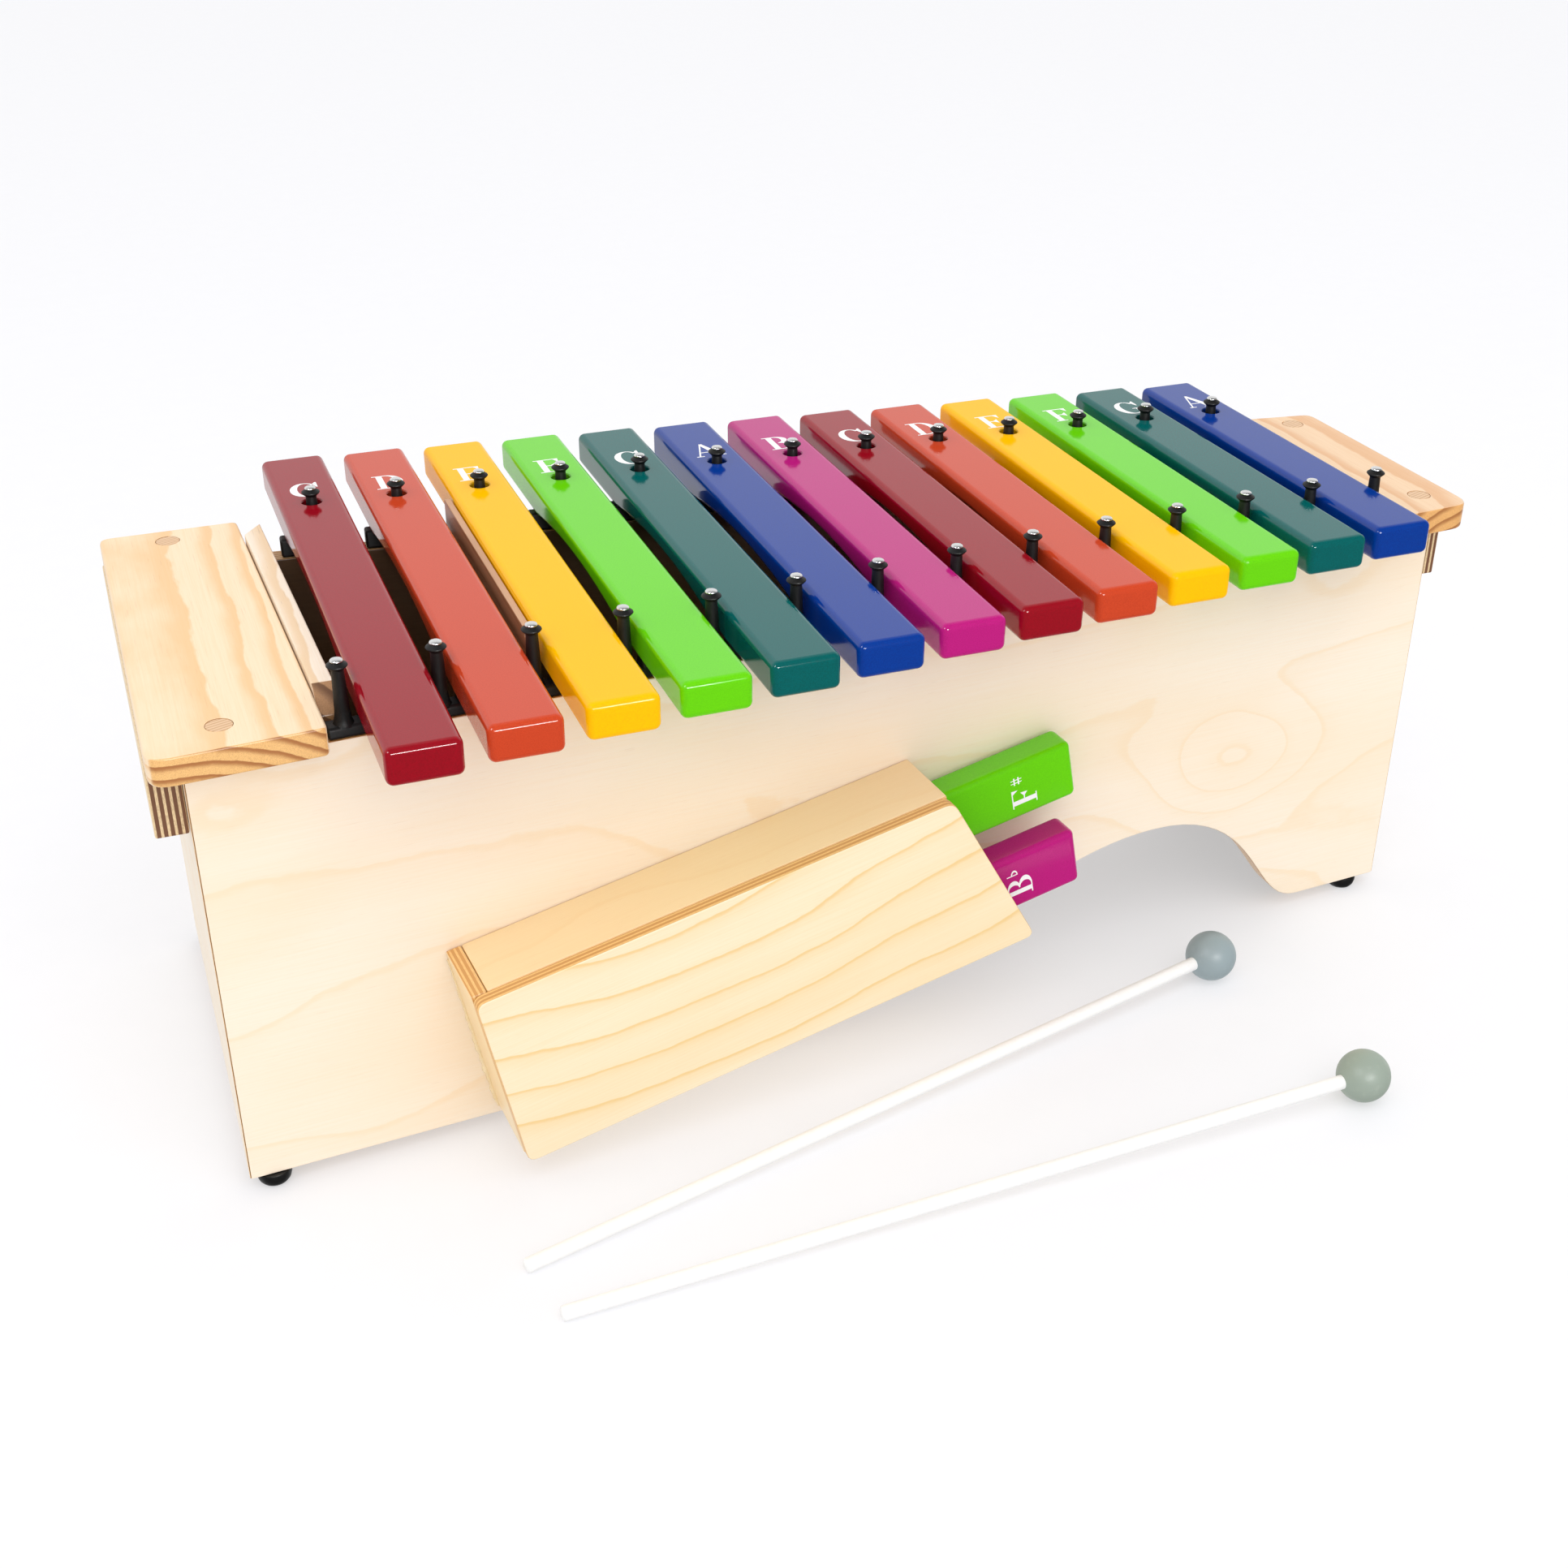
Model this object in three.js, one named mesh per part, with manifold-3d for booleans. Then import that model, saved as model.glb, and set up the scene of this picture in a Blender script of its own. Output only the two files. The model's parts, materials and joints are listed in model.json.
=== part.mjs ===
// A diatonic alto xylophone: thirteen painted bars on a tapered plywood resonator box, with a rack on
// the front that stores two spare bars, and a pair of mallets lying on the floor in front.
// Millimetres, +Z up, bass bars towards -X, player in front (-Y). While it is built, x = 0 is the middle
// of the lowest bar, y = 0 is that bar's front end and z = 0 is the floor; the last lines centre it.
import * as THREE from "three";
import { mergeVertices } from "three/addons/utils/BufferGeometryUtils.js";
import Module from "manifold-3d";

const wasm = await Module();
wasm.setup();

// ---------------------------------------------------------------- driving dimensions
const FIT_GAP = 0.3; // left between pieces that touch

// Bars
const NOTES = ["c", "d", "e", "f", "g", "a", "b", "c", "d", "e", "f", "g", "a"];
const BAR_WIDTH = 39;
const BAR_THICKNESS = 21;
const BAR_TOP = 304;
const FIRST_PITCH = 51.475;
const PITCH_LOSS = 0.218; // each pitch is this much smaller than the one before
const BASS_FRONT_END = -1;
const TREBLE_FRONT_END = 65.6;
const BASS_REAR_END = 417.3;
const TREBLE_REAR_END = 348.2;
const REAR_END_BULGE = 3; // how far the rear ends bow out in the middle of the row
const BAR_EDGE_ROUNDING = 4;
const BAR_HOLE_RADIUS = 6;
const BASS_ARCH_DEPTH = 9;
const TREBLE_ARCH_DEPTH = 6;
const ARCH_FROM = 0.26; // the tuning arch, as shares of the bar's length
const ARCH_TO = 0.76;

// Resonator box
const WALL = 15;
const BOX_LEFT = -109.2;
const BOX_RIGHT = 673.2;
const PANEL_BOTTOM = 9;
const PANEL_TOP = 271.5;
const FRONT_AT_ZERO = 81.4;
const FRONT_SLOPE = 0.069;
const REAR_AT_ZERO = 341;
const REAR_SLOPE = -0.078;
const CUTOUT_START = 222;
const CUTOUT_CREST = 483;
const CUTOUT_END = 608;
const CUTOUT_TOP = 91;
const BOARD_THICKNESS = 6;
const BOARD_BASS_HEIGHT = 19;
const BOARD_TREBLE_HEIGHT = 154;
const PARTITION_THICKNESS = 4;
const PARTITION_OFFSET = 3.4; // from the middle of its gap, towards the bar on its right
const PARTITIONS = [
  { afterBar: 1, top: 300 }, // afterBar is the index of the bar on the partition's left
  { afterBar: 6, top: 262 },
  { afterBar: 9, top: 262 },
];
const PARTITION_CORNER_CUT = 20;

// Top plates, grip battens, plugs and feet
const PLATE_THICKNESS = 16.5;
const PLATE_TOP = PANEL_TOP + FIT_GAP + PLATE_THICKNESS;
const LEFT_PLATE_EDGE = -126;
const RIGHT_PLATE_EDGE = 690.7;
const RIGHT_PLATE_INNER_EDGE = 636;
const LEFT_PLATE_INNER_EDGE = -36.6; // at its front corner
const LEFT_PLATE_SKEW = -0.0262; // the inner edge is set a little askew
const LEFT_PLATE_REAR = 358;
const FRONT_OVERHANG = 15;
const RIGHT_REAR_OVERHANG = 8;
const PLATE_CORNER_RADIUS = { frontOuter: 13, rearOuter: 7, inner: 4 };
const PLATE_EDGE_ROUNDING = 1.6;
const LEFT_PLUG_X = -87.2;
const RIGHT_PLUG_X = 667.8;
const FRONT_PLUG_INSET = 10;
const PLUG_RADIUS = 7;
const PLUG_DEPTH = 10;
const BATTEN_BOTTOM = 229.5;
const BATTEN_PROUD = 0.8; // how far a batten stands past its plate's edge
const BATTEN_FRONT_RECESS = 12;
const FENCE_THICKNESS = 11.5;
const FENCE_TOP = 291;
const FENCE_BOTTOM = 150;
const FENCE_SLANT_RUN = 16;
const FENCE_SLANT_DROP = 12;
const FOOT_RADIUS = 10;

// Rubber supports and their pins
const STRIP_HEIGHT = 6;
const RIDGE_LENGTH = 34;
const REST_TOP = BAR_TOP - BAR_THICKNESS - FIT_GAP;
const REAR_REST_LENGTH = 44;
const REAR_REST_DEPTH = 14;
const PIN_TOP = BAR_TOP + 10;
const PIN_RADIUS = 3.9;
const COLLAR_RADIUS = 4.8;
const FRONT_PIN_BASE = 6.5;
const REAR_PIN_BASE = 4.6;

// Spare bar rack, in its own frame: u runs along the rack, v down it and w out from the front panel
const RACK_X = 13.5;
const RACK_Z = 129.5;
const RACK_TILT = THREE.MathUtils.degToRad(11.1);
const RACK_DEPTH = 58;
const RACK_HEIGHT = 117;
const RACK_TOP_LENGTH = 292.4;
const RACK_BOTTOM_LENGTH = 331.4;
const RACK_PLY = 9;
const DIVIDER_V = 59;

// Spare bars: each lies on its edge on a board of the rack, and sticks out of its open end
const SPARE_GAP = 0.4; // between a bar's edge and the board under it
const SPARE_HOLE_SHARE = 0.2;
const SPARES = [
  { note: "f_sharp", length: 371, endU: 390, faceW: 21.8, boardV: DIVIDER_V, archShare: 0.3 },
  { note: "b_flat", length: 350, endU: 376, faceW: 40, boardV: RACK_HEIGHT - RACK_PLY, archShare: 0.5 },
];

// Mallets: where the ball and the far end of the stick rest on the floor
const STICK_RADIUS = 4.3;
const MALLETS = [
  { name: "mallet_1", ball: [506.4, 68.5], tip: [20.0, -43.5], ballRadius: 16.3, colour: "#7f8f95" },
  { name: "mallet_2", ball: [525.3, -73.2], tip: [28.2, -84.0], ballRadius: 16, colour: "#808a80" },
];

// ---------------------------------------------------------------- materials
const satin = (colour) => new THREE.MeshStandardMaterial({ color: colour, roughness: 0.35, metalness: 0 });
const wood = (colour) => new THREE.MeshStandardMaterial({ color: colour, roughness: 0.6, metalness: 0 });
const BIRCH = wood("#f3dfbd");
const PINE = wood("#f0d2a2");
const RUBBER = new THREE.MeshStandardMaterial({ color: "#151515", roughness: 0.8, metalness: 0 });
const STICK = new THREE.MeshStandardMaterial({ color: "#f4f2ee", roughness: 0.45, metalness: 0 });
const NOTE_COLOUR = {
  c: "#a01428",
  d: "#dd5433",
  e: "#ffcf05",
  f: "#6edb1f",
  g: "#0b6f67",
  a: "#123f9f",
  b: "#bf2a88",
  f_sharp: "#6edb1f",
  b_flat: "#bf2a88",
};

// ---------------------------------------------------------------- solids
const root = new THREE.Group();

function place(parent, name, geometry, material) {
  const mesh = new THREE.Mesh(geometry, material);
  mesh.name = name;
  parent.add(mesh);
  return mesh;
}

function solidOf(geometry) {
  const faces = geometry.index ? geometry.toNonIndexed() : geometry;
  const bare = new THREE.BufferGeometry().setAttribute("position", faces.getAttribute("position"));
  const merged = mergeVertices(bare, 1e-4);
  return new wasm.Manifold(
    new wasm.Mesh({
      numProp: 3,
      vertProperties: merged.attributes.position.array,
      triVerts: new Uint32Array(merged.index.array),
    }),
  );
}

function geometryOf(solid) {
  const { vertProperties, triVerts } = solid.getMesh();
  return new THREE.BufferGeometry()
    .setAttribute("position", new THREE.BufferAttribute(new Float32Array(vertProperties), 3))
    .setIndex(new THREE.BufferAttribute(new Uint32Array(triVerts), 1));
}

const cut = (body, tool) => geometryOf(solidOf(body).subtract(solidOf(tool)));
const common = (first, second) => geometryOf(solidOf(first).intersect(solidOf(second)));
const joined = (pieces) => geometryOf(pieces.map(solidOf).reduce((sum, piece) => sum.add(piece)));

const shapeOf = (points) => new THREE.Shape(points.map(([a, b]) => new THREE.Vector2(a, b)));

// A plan outline raised from one height to another.
function planPrism(points, bottom, top) {
  const depth = top - bottom;
  return new THREE.ExtrudeGeometry(shapeOf(points), { depth, bevelEnabled: false }).translate(0, 0, bottom);
}

// An outline in the XZ plane, drawn through the whole depth of the box.
function frontPrism(shape) {
  const depth = 1000;
  const prism = new THREE.ExtrudeGeometry(shape, { depth, bevelEnabled: false, curveSegments: 20 });
  return prism.rotateX(Math.PI / 2).translate(0, 700, 0);
}

// An outline in the YZ plane, drawn along X from x = 0.
function sidePrism(points, length, options = { bevelEnabled: false }) {
  const toSide = new THREE.Matrix4().makeBasis(
    new THREE.Vector3(0, 1, 0),
    new THREE.Vector3(0, 0, 1),
    new THREE.Vector3(1, 0, 0),
  );
  return new THREE.ExtrudeGeometry(shapeOf(points), { depth: length, ...options }).applyMatrix4(toSide);
}

// A turned piece standing on the floor, from [radius, height] pairs.
function turned(profile, segments) {
  const points = profile.map(([radius, height]) => new THREE.Vector2(radius, height));
  return new THREE.LatheGeometry(points, segments).rotateX(Math.PI / 2);
}

function uprightCylinder(radius, bottom, top, segments = 24) {
  const height = top - bottom;
  const cylinder = new THREE.CylinderGeometry(radius, radius, height, segments).rotateX(Math.PI / 2);
  return cylinder.translate(0, 0, (bottom + top) / 2);
}

// ---------------------------------------------------------------- layout
const frontFace = (x) => FRONT_AT_ZERO + FRONT_SLOPE * x;
const rearFace = (x) => REAR_AT_ZERO + REAR_SLOPE * x;
const barX = (i) => FIRST_PITCH * i - (PITCH_LOSS * i * (i - 1)) / 2;
const LAST_BAR = NOTES.length - 1;
const rangeShare = (i) => barX(i) / barX(LAST_BAR); // 0 at the lowest bar, 1 at the highest
const gapX = (i) => (barX(i) + barX(i + 1)) / 2; // the gap on the right of bar i; -1 is left of all bars
const barFrontEnd = (i) => BASS_FRONT_END + (TREBLE_FRONT_END - BASS_FRONT_END) * rangeShare(i);

function barRearEnd(i) {
  const t = rangeShare(i);
  return BASS_REAR_END + (TREBLE_REAR_END - BASS_REAR_END) * t + 4 * REAR_END_BULGE * t * (1 - t);
}

// ---------------------------------------------------------------- bars
// The side outline of a bar with rounded ends and a tuning arch under its middle.
function barOutline(length, archDepth) {
  const r = BAR_EDGE_ROUNDING;
  const archSteps = 10;
  const outline = [];
  const roundCorner = (y, z, startAngle) => {
    for (const share of [0, 0.5, 1]) {
      const angle = startAngle + (share * Math.PI) / 2;
      outline.push([y + r * Math.cos(angle), z + r * Math.sin(angle)]);
    }
  };
  roundCorner(length - r, -r, 0);
  roundCorner(r, -r, Math.PI / 2);
  roundCorner(r, r - BAR_THICKNESS, Math.PI);
  for (let step = 0; step <= archSteps; step += 1) {
    const share = step / archSteps;
    const rise = archDepth * Math.sin(Math.PI * share) ** 0.8;
    outline.push([(ARCH_FROM + share * (ARCH_TO - ARCH_FROM)) * length, rise - BAR_THICKNESS]);
  }
  roundCorner(length - r, r - BAR_THICKNESS, 1.5 * Math.PI);
  return outline;
}

// A bar with its top at z = 0, its front end at y = 0 and its middle at x = 0.
function barGeometry(length, archDepth, holeY) {
  const r = BAR_EDGE_ROUNDING;
  const bevel = { bevelEnabled: true, bevelSize: r, bevelThickness: r, bevelOffset: -r, bevelSegments: 2 };
  const blank = sidePrism(barOutline(length, archDepth), BAR_WIDTH - 2 * r, bevel);
  blank.translate(r - BAR_WIDTH / 2, 0, 0);
  const drill = uprightCylinder(BAR_HOLE_RADIUS, -2 * BAR_THICKNESS, BAR_THICKNESS, 20);
  return cut(blank, drill.translate(0, holeY, 0));
}

const archDepthAt = (t) => BASS_ARCH_DEPTH + (TREBLE_ARCH_DEPTH - BASS_ARCH_DEPTH) * t;
const pinLineY = (x) => rearFace(x) - WALL / 2;

NOTES.forEach((note, i) => {
  const front = barFrontEnd(i);
  const holeY = pinLineY(barX(i)) - front;
  const geometry = barGeometry(barRearEnd(i) - front, archDepthAt(rangeShare(i)), holeY);
  const number = String(i + 1).padStart(2, "0");
  const bar = place(root, `bar_${number}_${note}`, geometry, satin(NOTE_COLOUR[note]));
  bar.position.set(barX(i), front, BAR_TOP);
});

// ---------------------------------------------------------------- resonator box
const innerLeft = BOX_LEFT + WALL;
const innerRight = BOX_RIGHT - WALL;

// The front and rear panels stand on both ends and are cut away in a long wave under the treble bars.
function panelOutline() {
  const outline = new THREE.Shape().moveTo(BOX_LEFT - WALL, PANEL_BOTTOM);
  outline.lineTo(CUTOUT_START, PANEL_BOTTOM);
  const waveSteps = 24;
  for (let step = 1; step <= waveSteps; step += 1) {
    const share = step / waveSteps;
    const rise = (1 - Math.cos(Math.PI * share)) / 2;
    outline.lineTo(
      CUTOUT_START + share * (CUTOUT_CREST - CUTOUT_START),
      PANEL_BOTTOM + rise * (CUTOUT_TOP - PANEL_BOTTOM),
    );
  }
  const shoulder = 86;
  const steepX = CUTOUT_CREST + shoulder;
  outline.bezierCurveTo(steepX, CUTOUT_TOP, steepX, PANEL_BOTTOM, CUTOUT_END, PANEL_BOTTOM);
  outline.lineTo(BOX_RIGHT + WALL, PANEL_BOTTOM);
  outline.lineTo(BOX_RIGHT + WALL, PANEL_TOP);
  outline.lineTo(BOX_LEFT - WALL, PANEL_TOP);
  return outline;
}

function longPanel(outerY, inward) {
  const mitred = [
    [BOX_LEFT + FIT_GAP, outerY(BOX_LEFT)],
    [BOX_RIGHT - FIT_GAP, outerY(BOX_RIGHT)],
    [innerRight - FIT_GAP, outerY(innerRight) + inward],
    [innerLeft + FIT_GAP, outerY(innerLeft) + inward],
  ];
  return common(frontPrism(panelOutline()), planPrism(mitred, 0, BAR_TOP));
}

function endPanel(outerX, innerX) {
  const mitred = [
    [outerX, frontFace(outerX)],
    [innerX, frontFace(innerX) + WALL],
    [innerX, rearFace(innerX) - WALL],
    [outerX, rearFace(outerX)],
  ];
  return planPrism(mitred, PANEL_BOTTOM, PANEL_TOP);
}

place(root, "front_panel", longPanel(frontFace, WALL), BIRCH);
place(root, "rear_panel", longPanel(rearFace, -WALL), BIRCH);
place(root, "left_end_panel", endPanel(BOX_LEFT, innerLeft), BIRCH);
place(root, "right_end_panel", endPanel(BOX_RIGHT, innerRight), BIRCH);

// The bottom board rises towards the treble end, so that the resonance space shrinks with the bars.
const boardTop = (x) => {
  const share = (x - innerLeft) / (innerRight - innerLeft);
  return BOARD_BASS_HEIGHT + share * (BOARD_TREBLE_HEIGHT - BOARD_BASS_HEIGHT) + BOARD_THICKNESS;
};

function bottomBoard() {
  const left = innerLeft + FIT_GAP;
  const right = innerRight - FIT_GAP;
  const inset = WALL + FIT_GAP;
  const slope = shapeOf([
    [left, boardTop(left) - BOARD_THICKNESS],
    [right, boardTop(right) - BOARD_THICKNESS],
    [right, boardTop(right)],
    [left, boardTop(left)],
  ]);
  const plan = [
    [left, frontFace(left) + inset],
    [right, frontFace(right) + inset],
    [right, rearFace(right) - inset],
    [left, rearFace(left) - inset],
  ];
  return common(frontPrism(slope), planPrism(plan, 0, BAR_TOP));
}

place(root, "bottom_board", bottomBoard(), PINE);

// A partition stands across the box in a gap between two bars, with its front corner cut off.
function partition(x, top) {
  const half = PARTITION_THICKNESS / 2;
  const front = frontFace(x + half) + WALL + FIT_GAP;
  const rear = rearFace(x + half) - WALL - FIT_GAP;
  const bottom = boardTop(x + half) + FIT_GAP;
  const outline = [
    [front, bottom],
    [rear, bottom],
    [rear, top],
    [front + PARTITION_CORNER_CUT, top],
    [front, top - PARTITION_CORNER_CUT],
  ];
  return sidePrism(outline, PARTITION_THICKNESS).translate(x - half, 0, 0);
}

PARTITIONS.forEach(({ afterBar, top }, order) => {
  place(root, `partition_${order + 1}`, partition(gapX(afterBar) + PARTITION_OFFSET, top), PINE);
});

// ---------------------------------------------------------------- top plates and what hangs from them
const leftPlateFront = frontFace(LEFT_PLATE_INNER_EDGE) - FRONT_OVERHANG;
const leftPlateInner = (y) => LEFT_PLATE_INNER_EDGE + LEFT_PLATE_SKEW * (y - leftPlateFront);

function plateGeometry(corners, radii, plugs) {
  const outline = new THREE.Shape();
  corners.forEach(([x, y], k) => {
    const before = corners.at(k - 1);
    const after = corners[(k + 1) % corners.length];
    const towards = (end) => {
      const share = radii[k] / Math.hypot(end[0] - x, end[1] - y);
      return [x + (end[0] - x) * share, y + (end[1] - y) * share];
    };
    const start = towards(before);
    if (k === 0) outline.moveTo(...start);
    else outline.lineTo(...start);
    outline.quadraticCurveTo(x, y, ...towards(after));
  });
  const r = PLATE_EDGE_ROUNDING;
  const blank = new THREE.ExtrudeGeometry(outline, {
    depth: PLATE_THICKNESS - 2 * r,
    bevelSize: r,
    bevelThickness: r,
    bevelOffset: -r,
    bevelSegments: 2,
    curveSegments: 5,
  }).translate(0, 0, PLATE_TOP - PLATE_THICKNESS + r);
  const pocketBottom = PLATE_TOP - PLUG_DEPTH - FIT_GAP;
  return plugs.reduce((plate, [x, y]) => {
    const pocket = uprightCylinder(PLUG_RADIUS + FIT_GAP, pocketBottom, PLATE_TOP + 1);
    return cut(plate, pocket.translate(x, y, 0));
  }, blank);
}

// A plug closes each screw hole; the screws run down into the long panels.
const plugSpots = (x) => [
  [x, frontFace(x) + FRONT_PLUG_INSET],
  [x, rearFace(x) - WALL / 2],
];

const leftPlugs = plugSpots(LEFT_PLUG_X);
const rightPlugs = plugSpots(RIGHT_PLUG_X);
const leftPlateCorners = [
  [LEFT_PLATE_EDGE, frontFace(LEFT_PLATE_EDGE) - FRONT_OVERHANG],
  [LEFT_PLATE_INNER_EDGE, leftPlateFront],
  [leftPlateInner(LEFT_PLATE_REAR), LEFT_PLATE_REAR],
  [LEFT_PLATE_EDGE, LEFT_PLATE_REAR],
];
const rightPlateRear = rearFace(RIGHT_PLATE_EDGE) + RIGHT_REAR_OVERHANG;
const rightPlateCorners = [
  [RIGHT_PLATE_INNER_EDGE, frontFace(RIGHT_PLATE_INNER_EDGE) - FRONT_OVERHANG],
  [RIGHT_PLATE_EDGE, frontFace(RIGHT_PLATE_EDGE) - FRONT_OVERHANG],
  [RIGHT_PLATE_EDGE, rightPlateRear],
  [RIGHT_PLATE_INNER_EDGE, rearFace(RIGHT_PLATE_INNER_EDGE) + 1.5 * RIGHT_REAR_OVERHANG],
];
const { frontOuter, rearOuter, inner } = PLATE_CORNER_RADIUS;

const leftPlate = plateGeometry(leftPlateCorners, [frontOuter, inner, inner, rearOuter], leftPlugs);
const rightPlate = plateGeometry(rightPlateCorners, [inner, frontOuter, rearOuter, inner], rightPlugs);
place(root, "left_top_plate", leftPlate, PINE);
place(root, "right_top_plate", rightPlate, PINE);

const plugNames = ["left_front_plug", "left_rear_plug", "right_front_plug", "right_rear_plug"];
[...leftPlugs, ...rightPlugs].forEach(([x, y], k) => {
  const plug = uprightCylinder(PLUG_RADIUS, PLATE_TOP - PLUG_DEPTH, PLATE_TOP);
  place(root, plugNames[k], plug, PINE).position.set(x, y, 0);
});

function gripBatten(innerX, outerX, rearY) {
  const left = Math.min(innerX, outerX);
  const right = Math.max(innerX, outerX);
  const front = frontFace((left + right) / 2) + BATTEN_FRONT_RECESS;
  const outline = [
    [front, BATTEN_BOTTOM],
    [rearY, BATTEN_BOTTOM],
    [rearY, PANEL_TOP],
    [front, PANEL_TOP],
  ];
  return sidePrism(outline, right - left).translate(left, 0, 0);
}

const leftBattenOuter = LEFT_PLATE_EDGE - BATTEN_PROUD;
const rightBattenOuter = RIGHT_PLATE_EDGE + BATTEN_PROUD;
const leftBatten = gripBatten(BOX_LEFT - FIT_GAP, leftBattenOuter, LEFT_PLATE_REAR);
const rightBatten = gripBatten(BOX_RIGHT + FIT_GAP, rightBattenOuter, rightPlateRear);
place(root, "left_grip_batten", leftBatten, BIRCH);
place(root, "right_grip_batten", rightBatten, BIRCH);

// The fence stands inside the box along the left plate and hooks over the rear panel. Its front end
// slants down to the rubber strip, and its rear end is sawn askew.
function sideFence() {
  const fenceRight = LEFT_PLATE_INNER_EDGE + FENCE_THICKNESS + 2 * FIT_GAP;
  const front = frontFace(fenceRight) + WALL + FIT_GAP;
  const rear = rearFace(fenceRight) - WALL - FIT_GAP;
  const overRear = rear + WALL;
  const outline = [
    [front, FENCE_BOTTOM],
    [rear, FENCE_BOTTOM],
    [rear, PANEL_TOP + FIT_GAP],
    [overRear, PANEL_TOP + FIT_GAP],
    [overRear, FENCE_TOP],
    [front + FENCE_SLANT_RUN, FENCE_TOP],
    [front, FENCE_TOP - FENCE_SLANT_DROP],
  ];
  const leftSide = (y) => leftPlateInner(y) + 2 * FIT_GAP;
  const plan = [
    [leftSide(front), front],
    [leftSide(front) + FENCE_THICKNESS, front],
    [leftSide(overRear) + FENCE_THICKNESS, overRear],
    [leftSide(rear), rear],
  ];
  const sideView = sidePrism(outline, 5 * FENCE_THICKNESS).translate(2 * LEFT_PLATE_INNER_EDGE, 0, 0);
  return common(sideView, planPrism(plan, 0, BAR_TOP));
}

place(root, "side_fence", sideFence(), PINE);

const footProfile = [
  [0, 0],
  [6.5, 0],
  [9, 2],
  [FOOT_RADIUS, 5],
  [FOOT_RADIUS, PANEL_BOTTOM - FIT_GAP],
  [0, PANEL_BOTTOM - FIT_GAP],
];
const footInset = 8;
const footSpots = {
  left_front_foot: [BOX_LEFT + 14, frontFace(BOX_LEFT) + footInset],
  left_rear_foot: [BOX_LEFT + 14, rearFace(BOX_LEFT) - footInset],
  right_front_foot: [BOX_RIGHT - 20, frontFace(BOX_RIGHT) + footInset],
  right_rear_foot: [BOX_RIGHT - 20, rearFace(BOX_RIGHT) - footInset],
};
Object.entries(footSpots).forEach(([name, [x, y]]) => {
  place(root, name, turned(footProfile, 18), RUBBER).position.set(x, y, 0);
});

// ---------------------------------------------------------------- rubber rests and pins
// A nail in a rubber sleeve: flared at the base, with a double cone under the nail's domed head.
function pinGeometry(base, baseRadius) {
  const profile = [
    [0, base],
    [baseRadius, base],
    [PIN_RADIUS, base + 7],
    [PIN_RADIUS - 0.3, PIN_TOP - 7.2],
    [COLLAR_RADIUS, PIN_TOP - 4.2],
    [PIN_RADIUS - 0.5, PIN_TOP - 1.6],
    [PIN_RADIUS - 1.6, PIN_TOP - 0.3],
    [0, PIN_TOP],
  ];
  return turned(profile, 10);
}

// A rubber ridge with sloping sides, along x = 0 to its length.
function ridgeGeometry(base, halfDepth, length) {
  const outline = [
    [-halfDepth, base],
    [halfDepth, base],
    [halfDepth - 2.5, REST_TOP],
    [2.5 - halfDepth, REST_TOP],
  ];
  return sidePrism(outline, length);
}

const taperAngle = Math.atan(FRONT_SLOPE);
const stripBottom = PANEL_TOP + FIT_GAP;
const stripTop = stripBottom + STRIP_HEIGHT;
const stripMiddle = (x) => frontFace(x) + WALL / 2;

function frontPinStrip() {
  const left = leftPlateInner(80) + 1;
  const right = RIGHT_PLATE_INNER_EDGE - 1;
  const band = [
    [left, frontFace(left) + FIT_GAP],
    [right, frontFace(right) + FIT_GAP],
    [right, frontFace(right) + WALL - FIT_GAP],
    [left, frontFace(left) + WALL - FIT_GAP],
  ];
  const pieces = [planPrism(band, stripBottom, stripTop)];
  NOTES.forEach((note, i) => {
    const ridge = ridgeGeometry(stripTop - 1, 6, RIDGE_LENGTH).translate(-RIDGE_LENGTH / 2, 0, 0);
    pieces.push(ridge.rotateZ(taperAngle).translate(barX(i), stripMiddle(barX(i)), 0));
  });
  for (let i = -1; i <= LAST_BAR; i += 1) {
    pieces.push(pinGeometry(stripTop - 1, FRONT_PIN_BASE).translate(gapX(i), stripMiddle(gapX(i)), 0));
  }
  return joined(pieces);
}

place(root, "front_pin_strip", frontPinStrip(), RUBBER);

function rearRest() {
  const half = REAR_REST_LENGTH / 2;
  const block = ridgeGeometry(stripBottom, REAR_REST_DEPTH / 2, REAR_REST_LENGTH).translate(-half, 0, 0);
  return joined([block.rotateZ(Math.atan(REAR_SLOPE)), pinGeometry(REST_TOP - 1, REAR_PIN_BASE)]);
}

NOTES.forEach((note, i) => {
  const number = String(i + 1).padStart(2, "0");
  place(root, `rear_rest_${number}`, rearRest(), RUBBER).position.set(barX(i), pinLineY(barX(i)), 0);
});

// ---------------------------------------------------------------- spare bar rack
// In the rack's frame x is u, -z is v and -y is w, so a box is given by where it lies in u, v and w.
const rack = new THREE.Group();
rack.position.set(RACK_X, frontFace(RACK_X), RACK_Z);
rack.rotation.set(0, -RACK_TILT, taperAngle, "ZYX");
root.add(rack);

function rackBox([u0, u1], [v0, v1], [w0, w1]) {
  const box = new THREE.BoxGeometry(u1 - u0, w1 - w0, v1 - v0);
  return box.translate((u0 + u1) / 2, -(w0 + w1) / 2, -(v0 + v1) / 2);
}

const slantRun = RACK_BOTTOM_LENGTH - RACK_TOP_LENGTH;
const innerW = RACK_DEPTH - RACK_PLY;
const lengthAt = (v) => RACK_TOP_LENGTH + (slantRun * v) / RACK_HEIGHT;
const insideU = RACK_PLY + FIT_GAP;

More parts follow.
